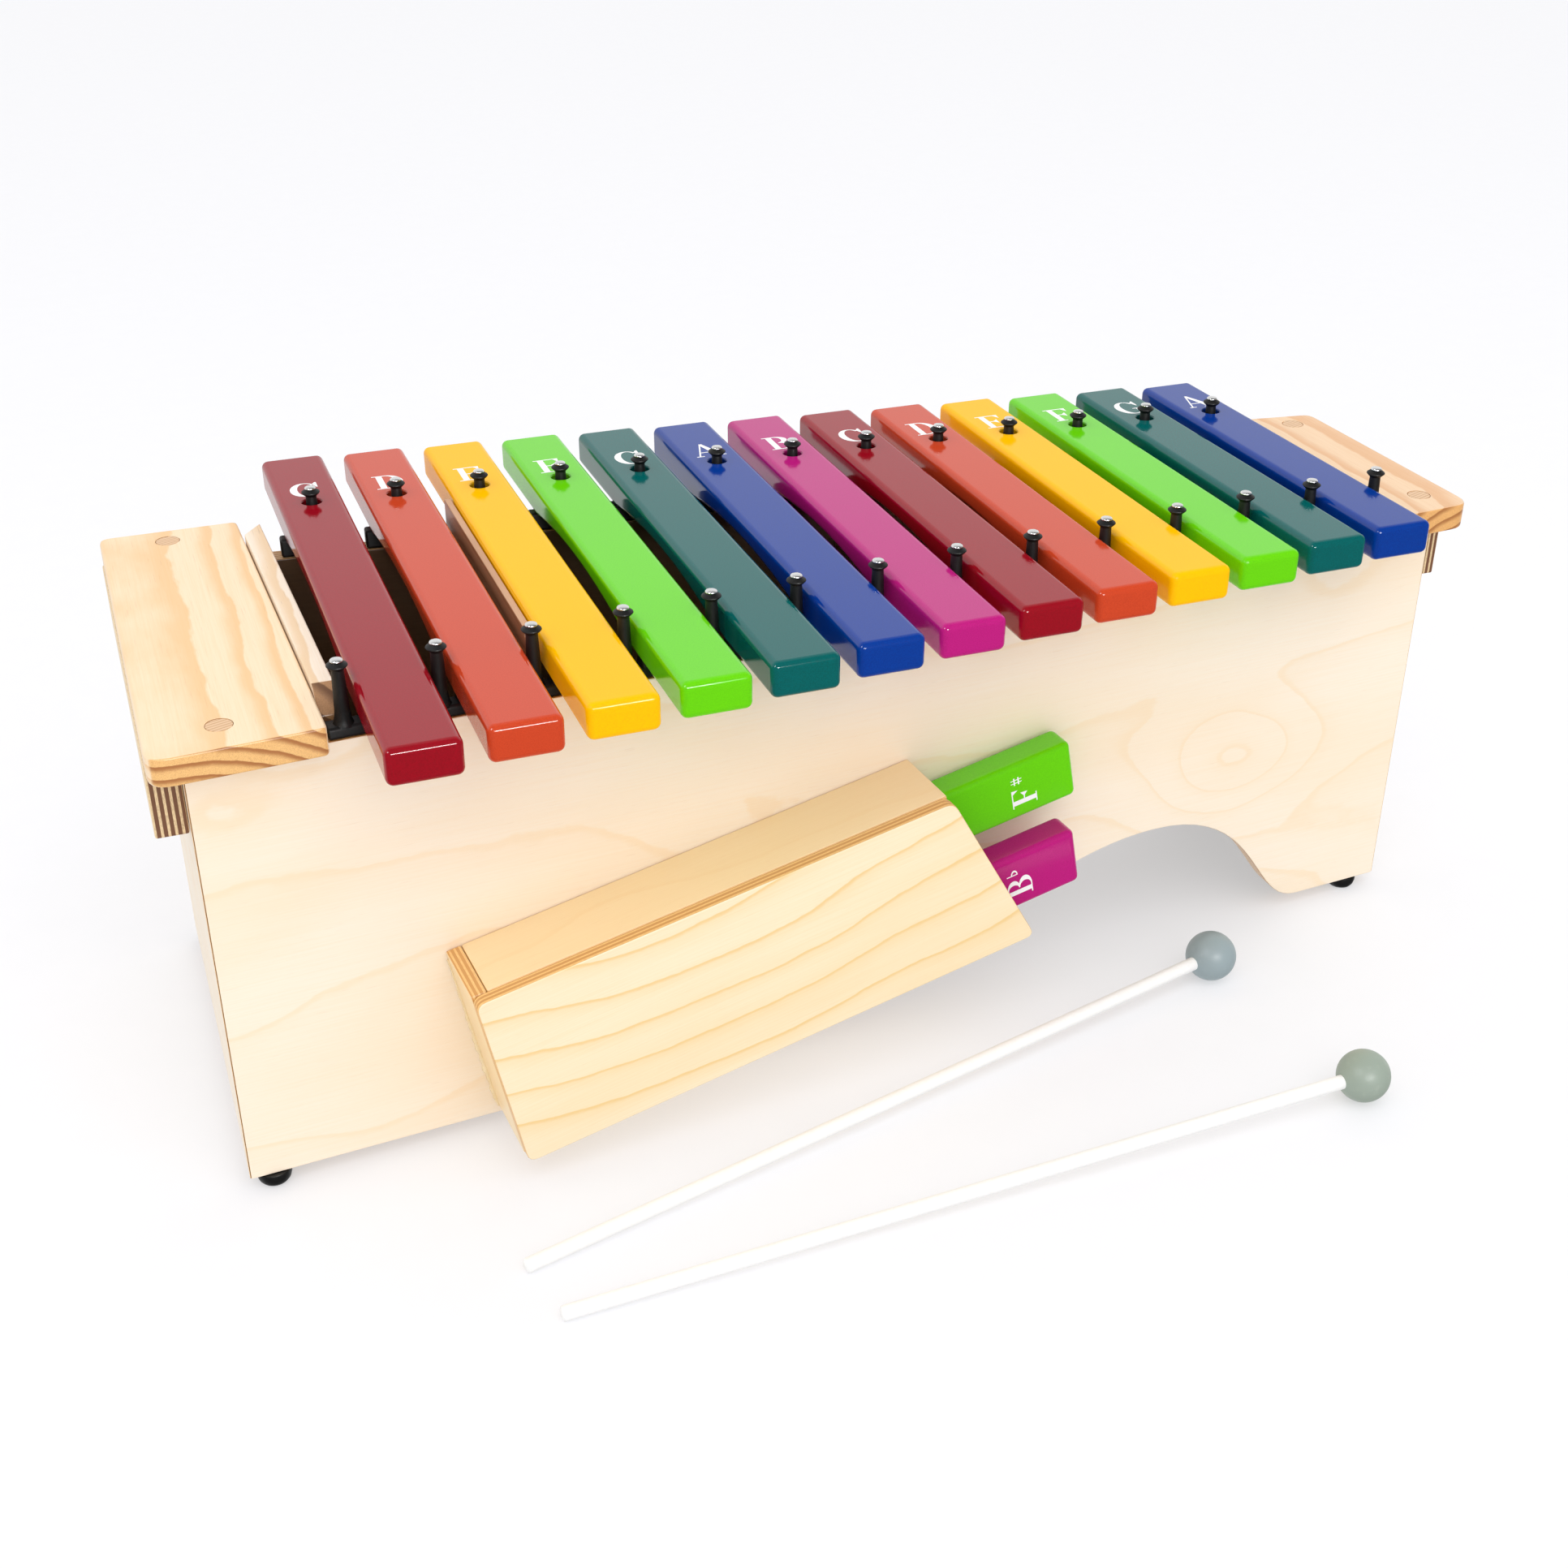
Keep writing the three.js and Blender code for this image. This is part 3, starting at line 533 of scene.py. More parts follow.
def bar_side(length, thickness, arch_depth):
    """A bar's side view: a plank with a tuning arch under it, its top front corner at (0, 0)."""
    side = [(length, 0), (0, 0), (0, -thickness)]
    for step in range(ARCH_STEPS + 1):
        share = step / ARCH_STEPS
        rise = arch_depth * math.sin(math.pi * share) ** ARCH_FULLNESS
        side.append((length * (ARCH_FROM + share * (ARCH_TO - ARCH_FROM)), rise - thickness))
    return side + [(length, -thickness)]


def drill(thickness):
    """A cutter for the pin's hole, which flares at the bar's top and underside."""
    reach_out = thickness / 2 + DRILL_OVERRUN
    waist = thickness / 2 - HOLE_FLARE
    flared = HOLE_RADIUS + 2 * HOLE_FLARE
    profile = [(0, -reach_out), (flared, -reach_out), (HOLE_RADIUS, -waist)]
    profile += [(HOLE_RADIUS, waist), (flared, reach_out), (0, reach_out)]
    return turned("drill", profile, 40)


def bar_mesh(name, length, width, thickness, arch_depth, hole_at):
    """A bar with its top at z = 0, its front end at y = 0 and its middle at x = 0."""
    mesh = prism(name, bar_side(length, thickness, arch_depth), width)
    mesh.transform(Matrix(((0, 0, 1, -width / 2), (1, 0, 0, 0), (0, 1, 0, 0), (0, 0, 0, 1))))
    blank = helper(name, mesh)
    bevel = blank.modifiers.new("round_edges", "BEVEL")
    bevel.width = BAR_ROUNDING
    bevel.segments = 6
    bevel.angle_limit = math.radians(40)
    cutter = helper("drill", drill(thickness), (0, hole_at, -thickness / 2))
    drilling = blank.modifiers.new("pin_hole", "BOOLEAN")
    drilling.operation = "DIFFERENCE"
    drilling.solver = "EXACT"
    drilling.object = cutter
    bake_modifiers(blank)
    mesh = blank.data
    bpy.data.objects.remove(blank)
    bpy.data.objects.remove(cutter)
    return mesh


BARS = sorted(n for n in NODES if n.startswith("bar_"))
BASS_ARCH, TREBLE_ARCH = 9 * MM, 6 * MM


def rear_rest(k):
    """The node of the rear rest under bar k, counted from 0."""
    return f"rear_rest_{k + 1:02d}"


def bar_placed(node, place, turn, size, arch_depth, hole_at):
    """A bar in its node's stead, with the middle of its top front edge at a place."""
    width, length, thickness = size
    mesh = bar_mesh(node + "_skin", length, width, thickness, arch_depth, hole_at)
    mesh.transform(Matrix.Translation(place) @ turn)
    material = PAINTS[SLOT_OF[node]]
    obj = add_object(node + "_skin", mesh, material, BODY_OF[node])
    shade(obj)
    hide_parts(node)


def build_bars():
    first_x, last_x = centre(BARS[0]).x, centre(BARS[-1]).x
    for k, node in enumerate(BARS):
        low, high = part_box(node)
        middle = (low + high) / 2
        share = (middle.x - first_x) / (last_x - first_x)
        hole_at = centre(rear_rest(k)).y - low.y
        place = Vector((middle.x, low.y, high.z))
        depth = BASS_ARCH + (TREBLE_ARCH - BASS_ARCH) * share
        bar_placed(node, place, Matrix.Identity(4), high - low, depth, hole_at)


SPARE_LENGTH = {"spare_bar_f_sharp": 371 * MM, "spare_bar_b_flat": 350 * MM}
SPARE_ARCH = {"spare_bar_f_sharp": 8.1 * MM, "spare_bar_b_flat": 7.5 * MM}
SPARE_HOLE_SHARE = 0.2
BAR_WIDTH = 2 * (centre(BARS[0]) - corner(BARS[0])).x
BAR_THICKNESS = 2 * (centre(BARS[0]) - corner(BARS[0])).z


def spare_frame(node):
    """The turn and place of a spare bar: its length along the rack, its top towards the player."""
    turn = Matrix((RACK_UP, RACK_ALONG, FRONT_OUT)).transposed()
    length = SPARE_LENGTH[node]
    middle = centre(node)
    place = middle - RACK_ALONG * length / 2 + FRONT_OUT * BAR_THICKNESS / 2
    return turn.to_4x4(), place


def build_spares():
    for node, length in SPARE_LENGTH.items():
        turn, place = spare_frame(node)
        size = (BAR_WIDTH, length, BAR_THICKNESS)
        bar_placed(node, place, turn, size, SPARE_ARCH[node], SPARE_HOLE_SHARE * length)


# ---------------------------------------------------------------- note letters
def box_outline(x0, y0, x1, y1):
    return [(x0, y0), (x1, y0), (x1, y1), (x0, y1)]


def arc(cx, cy, rx, ry, start, end):
    steps = 20
    angles = [math.radians(start + (end - start) * k / steps) for k in range(steps + 1)]
    return [(cx + rx * math.cos(a), cy + ry * math.sin(a)) for a in angles]


def crescent(outer, inner, start, end):
    """The space between two arcs, each given as its middle and its two radii."""
    return arc(*outer, start, end) + arc(*inner, end, start)


STEM = (0.12, 0.32)
SERIF = 0.045


def stem_with_feet(right=0.42):
    return [
        box_outline(STEM[0], 0, STEM[1], 1),
        box_outline(0, 0, right, SERIF),
        box_outline(0, 1 - SERIF, right, 1),
    ]


def arm(y_low, y_high, x_end, tip_low, tip_high):
    """A thin arm that ends in a wedge."""
    wedge = [(x_end - 0.14, y_low), (x_end, tip_low), (x_end + 0.03, tip_high), (x_end - 0.14, y_high)]
    return [box_outline(STEM[1] - 0.02, y_low, x_end - 0.1, y_high), wedge]


# Each glyph is a list of outlines that overlap, in a unit square.
ROUND_LEFT = crescent((0.45, 0.5, 0.45, 0.51), (0.5, 0.5, 0.27, 0.465), 42, 318)
BEAK = [(0.74, 0.86), (0.84, 0.64), (0.88, 0.64), (0.88, 1.0), (0.83, 1.0), (0.77, 0.93)]
TOP_ARM = arm(1 - SERIF, 1, 0.78, 0.74, 1.0)
MIDDLE_ARM = arm(0.48, 0.525, 0.6, 0.36, 0.65)
BOTTOM_ARM = arm(0, SERIF, 0.8, 0.0, 0.28)
GLYPHS = {
    "c": [ROUND_LEFT, BEAK],
    "g": [
        ROUND_LEFT,
        BEAK,
        box_outline(0.68, 0.04, 0.87, 0.42),
        box_outline(0.56, 0.4, 0.97, 0.445),
    ],
    "d": stem_with_feet(0.45)
    + [crescent((0.4, 0.5, 0.5, 0.5), (0.4, 0.5, 0.29, 0.455), -90, 90)],
    "b": stem_with_feet(0.45)
    + [
        crescent((0.42, 0.745, 0.37, 0.255), (0.4, 0.745, 0.19, 0.21), -90, 90),
        crescent((0.42, 0.27, 0.45, 0.27), (0.4, 0.27, 0.25, 0.225), -90, 90),
    ],
    "e": stem_with_feet() + TOP_ARM + MIDDLE_ARM + BOTTOM_ARM,
    "f": stem_with_feet() + TOP_ARM + MIDDLE_ARM,
    "a": [
        [(0.08, 0.02), (0.14, 0.02), (0.46, 0.98), (0.41, 0.98)],
        [(0.41, 1.0), (0.5, 1.0), (0.9, 0.02), (0.67, 0.02), (0.39, 0.92)],
        box_outline(0.2, 0.3, 0.72, 0.345),
        box_outline(0, 0, 0.26, SERIF),
        box_outline(0.57, 0, 1.0, SERIF),
    ],
    "sharp": [
        box_outline(0.2, 0, 0.28, 1),
        box_outline(0.52, 0, 0.6, 1),
        box_outline(0, 0.24, 0.8, 0.36),
        box_outline(0, 0.62, 0.8, 0.74),
    ],
    "flat": [
        box_outline(0, 0, 0.1, 1),
        crescent((0.1, 0.3, 0.48, 0.3), (0.1, 0.3, 0.3, 0.2), -90, 90),
    ],
}
INK_THICKNESS = 0.05 * MM


def letter(name, glyph, size, place, right, up, body):
    """A printed letter as one thin solid, standing on a surface at its lower left corner."""
    width, height = size
    parts = []
    for outline in GLYPHS[glyph]:
        points = [(x * width, y * height) for x, y in outline]
        parts.append(helper("stroke", prism("stroke", points, INK_THICKNESS)))
    whole = parts[0]
    for part in parts[1:]:
        joining = whole.modifiers.new("join", "BOOLEAN")
        joining.operation = "UNION"
        joining.solver = "EXACT"
        joining.object = part
    bake_modifiers(whole)
    mesh = whole.data
    turn = Matrix((right, up, right.cross(up))).transposed().to_4x4()
    mesh.transform(Matrix.Translation(place) @ turn)
    for part in parts:
        bpy.data.objects.remove(part)
    return add_object(name, mesh, INK, body)


LETTER_SIZE = (20 * MM, 23 * MM)
LETTER_AFTER_HOLE = 9.5 * MM
INK_LIFT = 0.015 * MM


def build_letters():
    for k, node in enumerate(BARS):
        hole = centre(rear_rest(k))
        glyph = node.rsplit("_", 1)[1]
        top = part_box(node)[1].z + INK_LIFT
        place = Vector((hole.x - LETTER_SIZE[0] / 2, hole.y + LETTER_AFTER_HOLE, top))
        letter(f"letter_{k + 1:02d}", glyph, LETTER_SIZE, place, X_AXIS, Y_AXIS, BODY_OF[node])


# node: letter, sign, and the letter's distance from the bar's end
SPARE_MARKS = {"spare_bar_f_sharp": ("f", "sharp", 27 * MM), "spare_bar_b_flat": ("b", "flat", 33 * MM)}
SPARE_LETTER_SIZE = (16 * MM, 17 * MM)
SPARE_LETTER_DROP = 11 * MM
SIGN_SIZE = (6.5 * MM, 7.5 * MM)
SIGN_RISE, SIGN_BACK = 16.5 * MM, 9 * MM


def build_spare_letters():
    """A letter and its sign near the end of each spare bar that shows, read upwards across the bar."""
    for node, (glyph, sign, inset) in SPARE_MARKS.items():
        end = spare_frame(node)[1] + RACK_ALONG * SPARE_LENGTH[node] + FRONT_OUT * INK_LIFT
        foot = end - RACK_ALONG * inset - RACK_UP * SPARE_LETTER_DROP
        letter(f"{node}_letter", glyph, SPARE_LETTER_SIZE, foot, RACK_UP, -RACK_ALONG, node)
        sign_foot = foot + RACK_UP * SIGN_RISE - RACK_ALONG * SIGN_BACK
        letter(f"{node}_sign", sign, SIGN_SIZE, sign_foot, RACK_UP, -RACK_ALONG, node)


# ---------------------------------------------------------------- box, plates and rack
def build_box():
    panels = {
        "front_panel": ((FRONT_ALONG, Z_AXIS, FRONT_OUT), 2.0, EYED_LINES),
        "rear_panel": ((REAR_ALONG, Z_AXIS, REAR_OUT), 7.0, PANEL_LINES),
        "left_end_panel": ((Y_AXIS, Z_AXIS, -X_AXIS), 4.0, PANEL_LINES),
        "right_end_panel": ((Y_AXIS, Z_AXIS, X_AXIS), 5.5, PANEL_LINES),
    }
    for node, (axes, seed, lines) in panels.items():
        # the panels' inner faces are painted dark as painted shade of the box's inside
        ply = plywood(node + "_ply", corner(node), axes, BIRCH_TONES, seed, lines, painted_inside_shade=True)
        softened(node, ply, 0.9 * MM)


def build_inside():
    # the bottom board is painted all over in the dark inside tones: painted shade of the box's inside
    painted_shade_tones = (*INSIDE_SHADE_TONES, *INSIDE_SHADE_TONES)
    board = plywood("bottom_ply", corner("bottom_board"), (X_AXIS, Y_AXIS, Z_AXIS), painted_shade_tones, 3.0, layer=1.2)
    softened("bottom_board", board, 0.4 * MM)
    axes = (Y_AXIS, Z_AXIS, X_AXIS)
    for k in (1, 2, 3):
        node = f"partition_{k}"
        deal = solid_wood(node + "_deal", corner(node), axes, DEAL_TONES, (400.0, 60.0), 9.0, 1.5, k * 2.3)
        softened(node, deal, 0.5 * MM)
    axes = (Y_AXIS, X_AXIS, Z_AXIS)
    origin = corner("side_fence")
    fence = solid_wood("fence_deal", origin, axes, FENCE_TONES, (-60.0, 40.0), 11.0, 1.2, 6.0, end_lean=0.4)
    softened("side_fence", fence, 0.9 * MM)


PLUG_GRAIN = (Vector((0.94, 0.34, 0)).normalized(), Vector((-0.34, 0.94, 0)).normalized(), Z_AXIS)
PLUG_PITH = (20.0, 8.0)


def build_plates():
    """The pine plates, the plugs over their screws and the plywood hand holds under them."""
    plates = {
        "left": (LEFT_PINE_TONES, (10.0, -110.0), 7.5, 1.2, 1.3),
        "right": (RIGHT_PINE_TONES, (60.0, -70.0), 8.0, 1.2, 8.1),
    }
    for side, (tones, pith, spacing, wave, seed) in plates.items():
        node = f"{side}_top_plate"
        axes = (Y_AXIS, X_AXIS, Z_AXIS)
        pine = solid_wood(node + "_pine", corner(node), axes, tones, pith, spacing, wave, seed)
        softened(node, pine)
        for k, end in enumerate(("front", "rear")):
            plug = f"{side}_{end}_plug"
            place = centre(plug)
            deal = solid_wood(plug + "_deal", place, PLUG_GRAIN, PLUG_TONES, PLUG_PITH, 2.4, 1.0, seed + k)
            softened(plug, deal, 0.35 * MM, segments=2)
        batten = f"{side}_grip_batten"
        axes = (Y_AXIS, Z_AXIS, X_AXIS)
        ply = plywood(batten + "_ply", corner(batten), axes, BATTEN_TONES, seed, layer=1.75)
        softened(batten, ply, 1.2 * MM)


def build_rack():
    boards = {
        "rack_front": ((RACK_ALONG, RACK_UP, FRONT_OUT), RACK_TONES, 1.0, RACK_LINES),
        "rack_top": ((RACK_ALONG, FRONT_OUT, RACK_UP), RACK_SIDE_TONES, 3.4, PLAIN_LINES),
        "rack_bottom": ((RACK_ALONG, FRONT_OUT, RACK_UP), RACK_SIDE_TONES, 5.4, PLAIN_LINES),
        "rack_divider": ((RACK_ALONG, FRONT_OUT, RACK_UP), RACK_SIDE_TONES, 7.7, PLAIN_LINES),
        "rack_end": ((RACK_UP, FRONT_OUT, RACK_ALONG), RACK_SIDE_TONES, 9.1, PLAIN_LINES),
    }
    for node, (axes, tones, seed, lines) in boards.items():
        ply = plywood(node + "_ply", centre(node), axes, tones, seed, lines, layer=1.5)
        softened(node, ply, 1.1 * MM)


BEAD_RINGS, BEAD_SIDES = 40, 10


def glue_bead(name, start, end, radius, seed):
    """A lumpy line of dried glue along a joint."""
    line = end - start
    turn = Z_AXIS.rotation_difference(line.normalized()).to_matrix()
    angles = [2 * math.pi * k / BEAD_SIDES for k in range(BEAD_SIDES)]
    work = bmesh.new()
    loops = []
    for j in range(BEAD_RINGS + 1):
        share = j / BEAD_RINGS
        lump = 0.7 + 0.3 * math.sin(seed + 17 * share) * math.cos(2.3 * seed + 41 * share)
        girth = radius * lump * math.sin(math.pi * (0.04 + 0.92 * share)) ** 0.3
        around = [turn @ Vector((math.cos(a), math.sin(a), 0)) * girth for a in angles]
        loops.append([work.verts.new(start + line * share + offset) for offset in around])
    for lower, upper in zip(loops, loops[1:]):
        bridge(work, lower, upper, BEAD_SIDES)
    work.faces.new(loops[0][::-1])
    work.faces.new(loops[-1])
    bead = add_object(name, finished(name, work), GLUE, BODY_OF["rack_end"])
    shade(bead, 60)


# name: share of the joint's height, radius and seed
BEADS = {"glue_bead_low": (0.62, 2.4 * MM, 1.0), "glue_bead_high": (0.95, 1.3 * MM, 4.0)}
BEAD_PROUD, BEAD_SUNK = 0.3 * MM, 0.6 * MM


def build_glue():
    """Glue squeezed out where the rack's closed end meets the front panel."""
    left = reach("rack_end", RACK_ALONG)[0] - BEAD_PROUD
    foot, top = reach("rack_end", RACK_UP)
    behind = reach("rack_end", FRONT_OUT)[0] + BEAD_SUNK
    for name, (share, radius, seed) in BEADS.items():
        start = RACK_ALONG * left + RACK_UP * foot + FRONT_OUT * behind
        end = start + RACK_UP * share * (top - foot)
        glue_bead(name, start, end, radius, seed)


# ---------------------------------------------------------------- rubber rests, pins and feet
REST_BODY = BODY_OF["front_pin_strip"]
STRIP_LOW, STRIP_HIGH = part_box("front_pin_strip")
PIN_TOP = STRIP_HIGH.z
BED_BOTTOM = STRIP_LOW.z
BED_TOP = BED_BOTTOM + 6 * MM
REST_TOP = corner(BARS[0]).z - 0.3 * MM  # a small gap keeps it off the bars


def pin(name, x, y, base, base_radius):
    """A rubber sleeve with a double-cone collar, and the steel head of the nail that holds it."""
    height = (PIN_TOP - base) / MM
    sleeve = [
        (0, 0),
        (base_radius, 0),
        (base_radius * 0.8, 1.5),
        (4.5, 4),
        (4.0, 8),
        (3.4, height - 9.0),
        (3.3, height - 6.2),
        (5.2, height - 4.3),
        (5.6, height - 3.8),
        (5.4, height - 3.3),
        (3.2, height - 1.7),
        (0, height - 1.7),
    ]
    foot = Vector((x, y, base))
    lathe(name + "_sleeve", sleeve, 28, RUBBER, REST_BODY, foot, sharp=30)
    head = [(0, -1.65), (2.9, -1.65), (3.4, -1.35), (3.4, -0.95), (3.0, -0.45), (1.8, -0.1), (0, 0)]
    top = Vector((x, y, PIN_TOP))
    lathe(name + "_nail_head", head, 28, STEEL, REST_BODY, top)


def rubber_block(name, middle, along, length, heights, half_depths):
    """A rubber bed with sloping sides along a direction; each pair is its foot's value and its crown's."""
    bottom, top = heights
    foot, crown = half_depths
    outline = [(-foot, 0), (foot, 0), (crown, top - bottom), (-crown, top - bottom)]
    mesh = prism(name, outline, length)
    across = Z_AXIS.cross(along)
    turn = Matrix((across, Z_AXIS, across.cross(Z_AXIS))).transposed().to_4x4()
    start = middle - across.cross(Z_AXIS) * length / 2
    mesh.transform(Matrix.Translation(Vector((start.x, start.y, bottom))) @ turn)
    obj = add_object(name, mesh, RUBBER, REST_BODY)
    bevel = obj.modifiers.new("soft_edges", "BEVEL")
    bevel.width = 1.6 * MM
    bevel.segments = 4
    bake_modifiers(obj)
    shade(obj)
    return obj


REST_INSET = 1 * MM
RIDGE_LENGTH = 35 * MM
FRONT_PIN_BASE, REAR_PIN_BASE = 6.4, 4.4  # radii in millimetres


def build_front_rests():
    """A long bed on the front panel, with a ridge under each bar and a pin at either side of it."""
    middle = (STRIP_LOW + STRIP_HIGH) / 2
    length = (STRIP_HIGH.x - STRIP_LOW.x - REST_INSET) / FRONT_ALONG.x
    heights = (BED_BOTTOM, BED_TOP)
    bed = rubber_block("front_rubber_bed", middle, FRONT_ALONG, length, heights, (7 * MM, 5.5 * MM))
    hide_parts("front_pin_strip")

    def line_y(x):
        return middle.y + (x - middle.x) * FRONT_SLOPE

    xs = [centre(node).x for node in BARS]
    heights = (BED_TOP - 2 * MM, REST_TOP)
    for k, x in enumerate(xs):
        spot = Vector((x, line_y(x), 0))
        name = f"front_ridge_{k + 1:02d}"
        rubber_block(name, spot, FRONT_ALONG, RIDGE_LENGTH, heights, (6 * MM, 3.4 * MM))
    gaps = [(a + b) / 2 for a, b in zip(xs, xs[1:])]
    gaps = [gaps[0] - (xs[1] - xs[0])] + gaps + [gaps[-1] + (xs[-1] - xs[-2])]
    for k, x in enumerate(gaps):
        pin(f"front_pin_{k + 1:02d}", x, line_y(x), BED_TOP - 1 * MM, FRONT_PIN_BASE)


def build_rear_rests():
    """A block on the rear panel under each bar, with the pin that stands through the bar's hole."""
    for k in range(len(BARS)):
        rest = rear_rest(k)
        low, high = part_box(rest)
        spot = (low + high) / 2
        length = high.x - low.x - REST_INSET
        heights = (low.z, REST_TOP)
        block = rubber_block(rest + "_block", spot, REAR_ALONG, length, heights, (6.8 * MM, 4.6 * MM))
        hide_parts(rest)
        pin(f"rear_pin_{k + 1:02d}", spot.x, spot.y, REST_TOP - 1 * MM, REAR_PIN_BASE)


def build_feet():
    for node in (f"{side}_{end}_foot" for side in ("left", "right") for end in ("front", "rear")):
        low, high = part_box(node)
        top = (high.z - low.z) / MM
        dome = [(0, 0), (6.2, 0), (7.8, 0.7), (9.2, 2.6), (9.9, 5.2)]
        dome += [(9.9, top - 0.5), (9.5, top), (0, top)]
        middle = (low + high) / 2
        place = Vector((middle.x, middle.y, low.z))
        foot = lathe(node + "_skin", dome, 40, RUBBER, BODY_OF[node], place)
        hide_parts(node)


# ---------------------------------------------------------------- mallets
HEAD_RUBBERS = (("head_blue_grey", "#98a7ab", "#a5b3b6"), ("head_green_grey", "#9aa79a", "#a8b3a6"))
STICK_RADIUS = 4.3  # in millimetres
STICK_GAP = 0.2  # between the stick's far end and the floor
STICK_IN_HEAD = 3.8
HEAD_STEPS = 28


def stick_paint():
    s = Shader("white_stick")
    streak = s.noise(s.place, 700.0, detail=2)
    return s.finish(Base_Color=s.mix(streak, "#fcfcfb", "#f4f3f1"), Roughness=0.35)


def mallet_axis(head, shaft):
    """The head's middle and the way from there to the middle of the stick's far end."""
    middle = centre(head)
    low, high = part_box(shaft)
    far_y = low.y if abs(low.y - middle.y) > abs(high.y - middle.y) else high.y
    inward = math.copysign(STICK_RADIUS * MM, middle.y - far_y)
    far = Vector((low.x, far_y + inward, (STICK_RADIUS + STICK_GAP) * MM))
    return middle, far - middle


def build_mallets():
    heads = [rubber(*colours, 0.42) for colours in HEAD_RUBBERS]
    white = stick_paint()
    for k, material in enumerate(heads, 1):
        head, shaft = f"mallet_{k}_head", f"mallet_{k}_stick"
        middle, way = mallet_axis(head, shaft)
        axis, length = way.normalized(), way.length / MM
        radius = (middle.z - corner(head).z) / MM
        angles = [math.pi * j / HEAD_STEPS for j in range(1, HEAD_STEPS)]
        ball = [(radius * math.sin(a), -radius * math.cos(a)) for a in angles]
        ball = [(0, -radius)] + ball + [(0, radius)]
        piece = lathe(head + "_skin", ball, 56, material, BODY_OF[head], middle, axis)
        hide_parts(head)
        start = radius - STICK_IN_HEAD
        rod = [(0, start), (STICK_RADIUS, start), (STICK_RADIUS, length - 1.6)]
        rod += [(STICK_RADIUS * 0.93, length - 0.6), (STICK_RADIUS * 0.7, length), (0, length)]
        piece = lathe(shaft + "_skin", rod, 32, white, BODY_OF[shaft], middle, axis)
        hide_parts(shaft)


# ---------------------------------------------------------------- floor, light and camera
FLOOR_HALF = 6.0


def build_floor():
    """A pale floor that glows a little, so that the object's shadows on it stay faint."""
    half = FLOOR_HALF
    corners = [(-half, -half, 0), (half, -half, 0), (half, half, 0), (-half, half, 0)]
    mesh = bpy.data.meshes.new("floor")
    mesh.from_pydata(corners, [], [(0, 1, 2, 3)])
    floor = bpy.data.objects.new("floor", mesh)
    bpy.context.scene.collection.objects.link(floor)
    paper = Shader("white_paper")
    mottle = paper.noise(paper.place, 40.0, detail=2)
    white = paper.finish(
        Base_Color=paper.mix(mottle, "#b6b6ba", "#b3b3b7"),
        Roughness=0.9,
        Emission_Color="#ffffff",
        Emission_Strength=0.47,
    )
    floor.data.materials.append(white)
    floor.visible_glossy = False


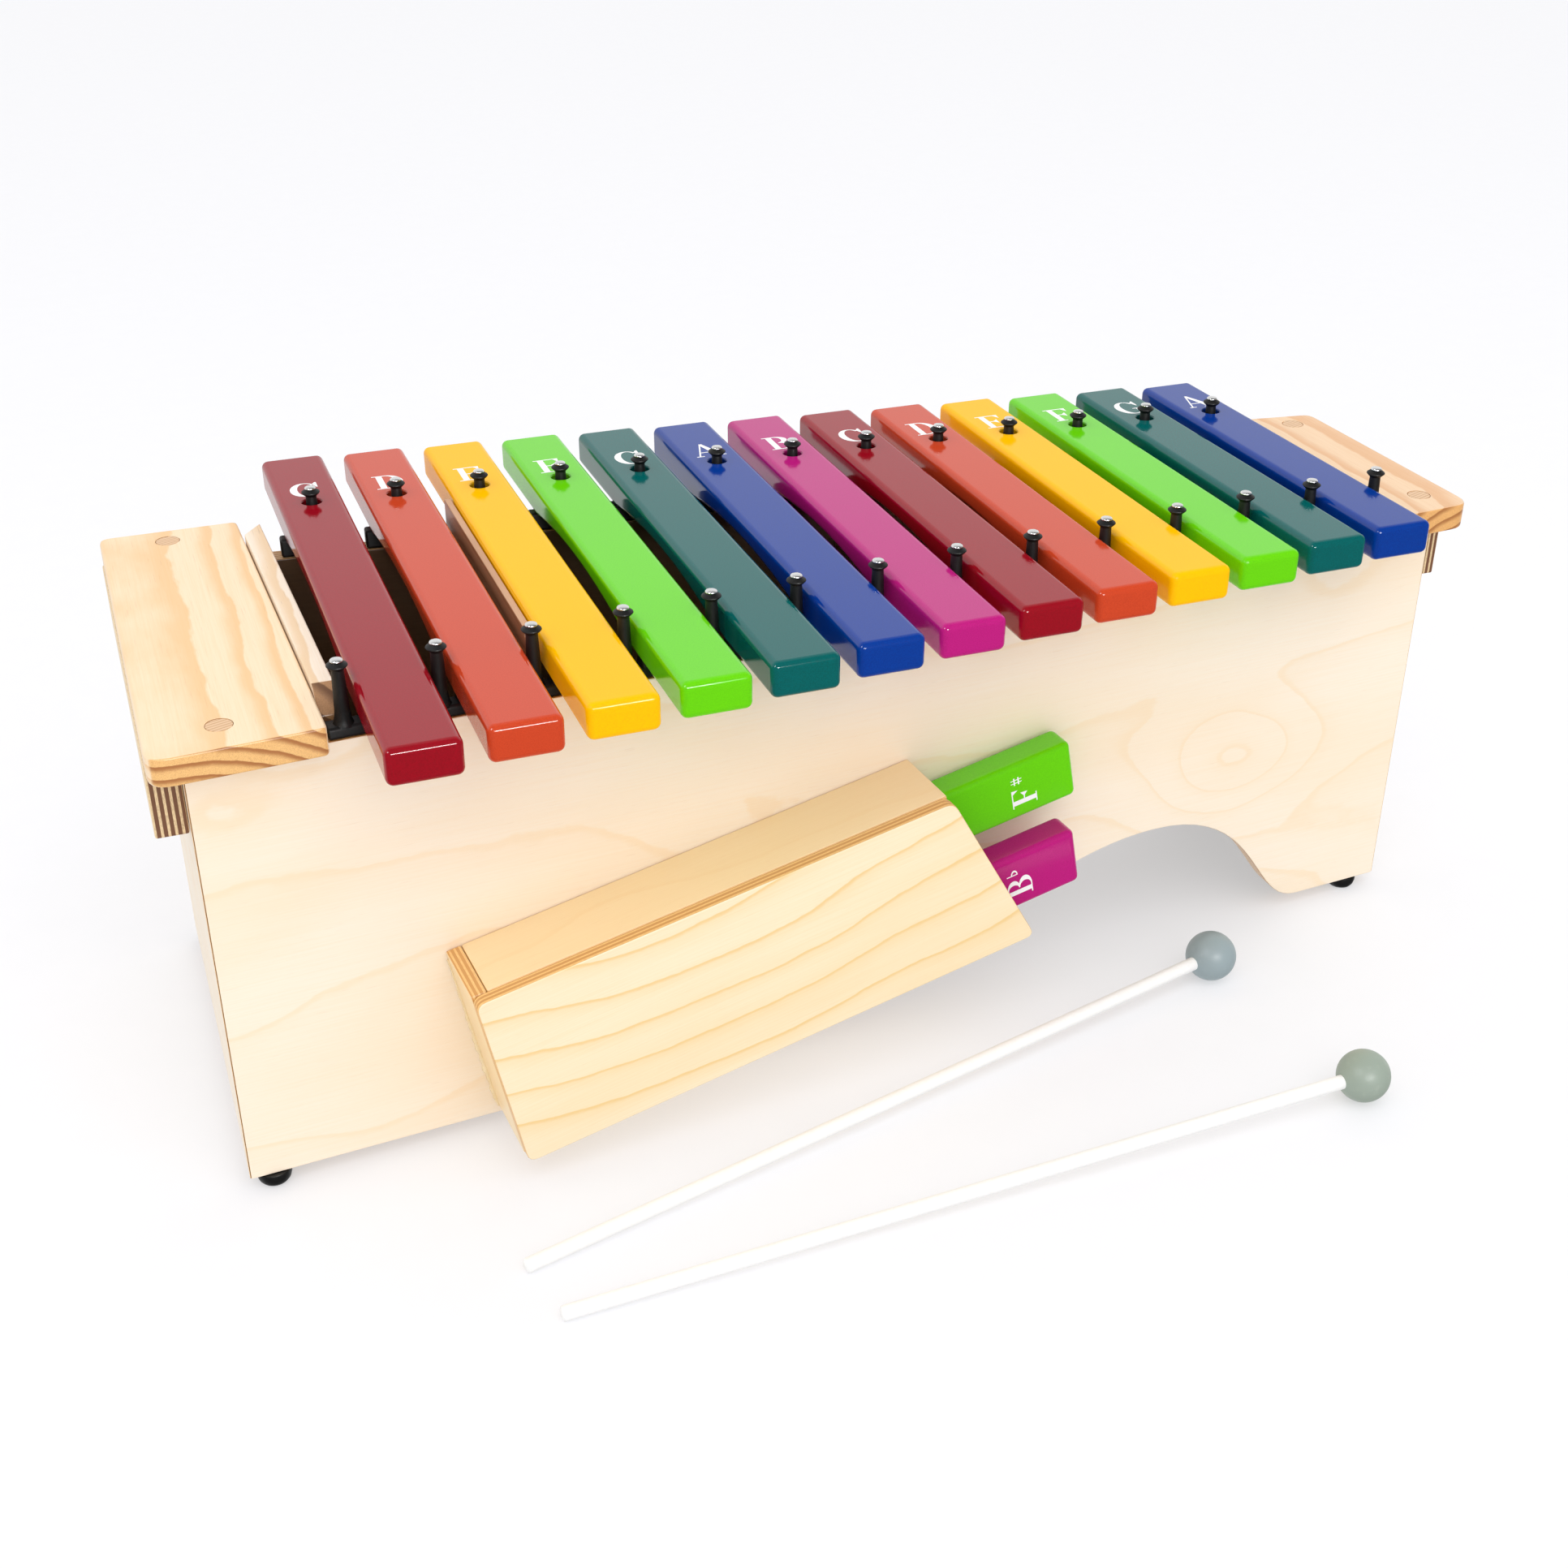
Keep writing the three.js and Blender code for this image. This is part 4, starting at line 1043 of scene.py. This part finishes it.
def build_sky():
    """White light from everywhere, but gloss sees a bright backdrop behind the object and a dark room."""
    world = bpy.data.worlds.new("studio")
    bpy.context.scene.world = world
    world.use_nodes = True
    nodes, links = world.node_tree.nodes, world.node_tree.links
    sky = nodes["Background"]
    parts = nodes.new("ShaderNodeSeparateXYZ")
    links.new(nodes.new("ShaderNodeTexCoord").outputs["Generated"], parts.inputs[0])

    def fade(axis, start, end, low, high):
        """A smooth change from low to high as a look's direction along an axis goes from start to end."""
        node = nodes.new("ShaderNodeMapRange")
        node.interpolation_type = "SMOOTHSTEP"
        links.new(parts.outputs[axis], node.inputs["Value"])
        for name, value in (("From Min", start), ("From Max", end), ("To Min", low), ("To Max", high)):
            node.inputs[name].default_value = value
        return node.outputs["Result"]

    backdrop = nodes.new("ShaderNodeMath")
    backdrop.operation = "MULTIPLY"
    links.new(fade("Y", -0.1, 0.35, 0.1, 0.85), backdrop.inputs[0])
    links.new(fade("Z", 0.6, 0.85, 1.0, 0.6), backdrop.inputs[1])
    choice = nodes.new("ShaderNodeMix")
    links.new(nodes.new("ShaderNodeLightPath").outputs["Is Glossy Ray"], choice.inputs[0])
    choice.inputs[2].default_value = 1.0
    links.new(backdrop.outputs[0], choice.inputs[3])
    links.new(choice.outputs[0], sky.inputs["Strength"])
    sky.inputs["Color"].default_value = (1.0, 1.0, 1.0, 1.0)


# name, place, height aimed at, size, watts, lights surfaces, shows in gloss
SOFTBOXES = (
    ("high_strip", (0.0, -2.9, 1.4), 0.25, (1.5, 0.28), 60, False, True),
    ("left_spark", (-1.7, -1.0, 1.9), 0.25, (0.5, 0.9), 20, False, True),
    ("overhead", (-0.3, -1.8, 2.7), 0.2, (3.0, 3.0), 32, True, False),
)


def softbox(name, place, aim_height, size, power, diffuse, glossy):
    light = bpy.data.lights.new(name, "AREA")
    light.shape = "RECTANGLE"
    light.size, light.size_y = size
    light.energy = power
    lamp = bpy.data.objects.new(name, light)
    lamp.location = place
    look = Vector((0, 0, aim_height)) - Vector(place)
    lamp.rotation_euler = look.to_track_quat("-Z", "Y").to_euler()
    lamp.visible_camera = False
    lamp.visible_diffuse = diffuse
    lamp.visible_glossy = glossy
    bpy.context.scene.collection.objects.link(lamp)


CAMERA_FROM_PANEL = Vector((-0.02495, -0.91681, 0.7463))
CAMERA_LENS, CAMERA_SENSOR = 45.845, 36.0
CAMERA_DOWN, CAMERA_TURN = 29.507, -20.616  # degrees below level, and round z from looking along +Y


def build_camera():
    """Looks over the low end, from a place measured from the front panel's low left corner."""
    lens = bpy.data.cameras.new("camera")
    lens.sensor_width = CAMERA_SENSOR
    lens.lens = CAMERA_LENS
    camera = bpy.data.objects.new("camera", lens)
    camera.location = corner("front_panel") + CAMERA_FROM_PANEL
    camera.rotation_euler = (math.radians(90 - CAMERA_DOWN), 0, math.radians(CAMERA_TURN))
    bpy.context.scene.collection.objects.link(camera)
    bpy.context.scene.camera = camera


# ---------------------------------------------------------------- the whole scene
build_bars()
build_spares()
build_letters()
build_spare_letters()
build_box()
build_inside()
build_plates()
build_rack()
build_glue()
build_front_rests()
build_rear_rests()
build_feet()
build_mallets()
build_floor()
build_sky()
for settings in SOFTBOXES:
    softbox(*settings)
build_camera()
bpy.context.scene.view_settings.view_transform = "Standard"
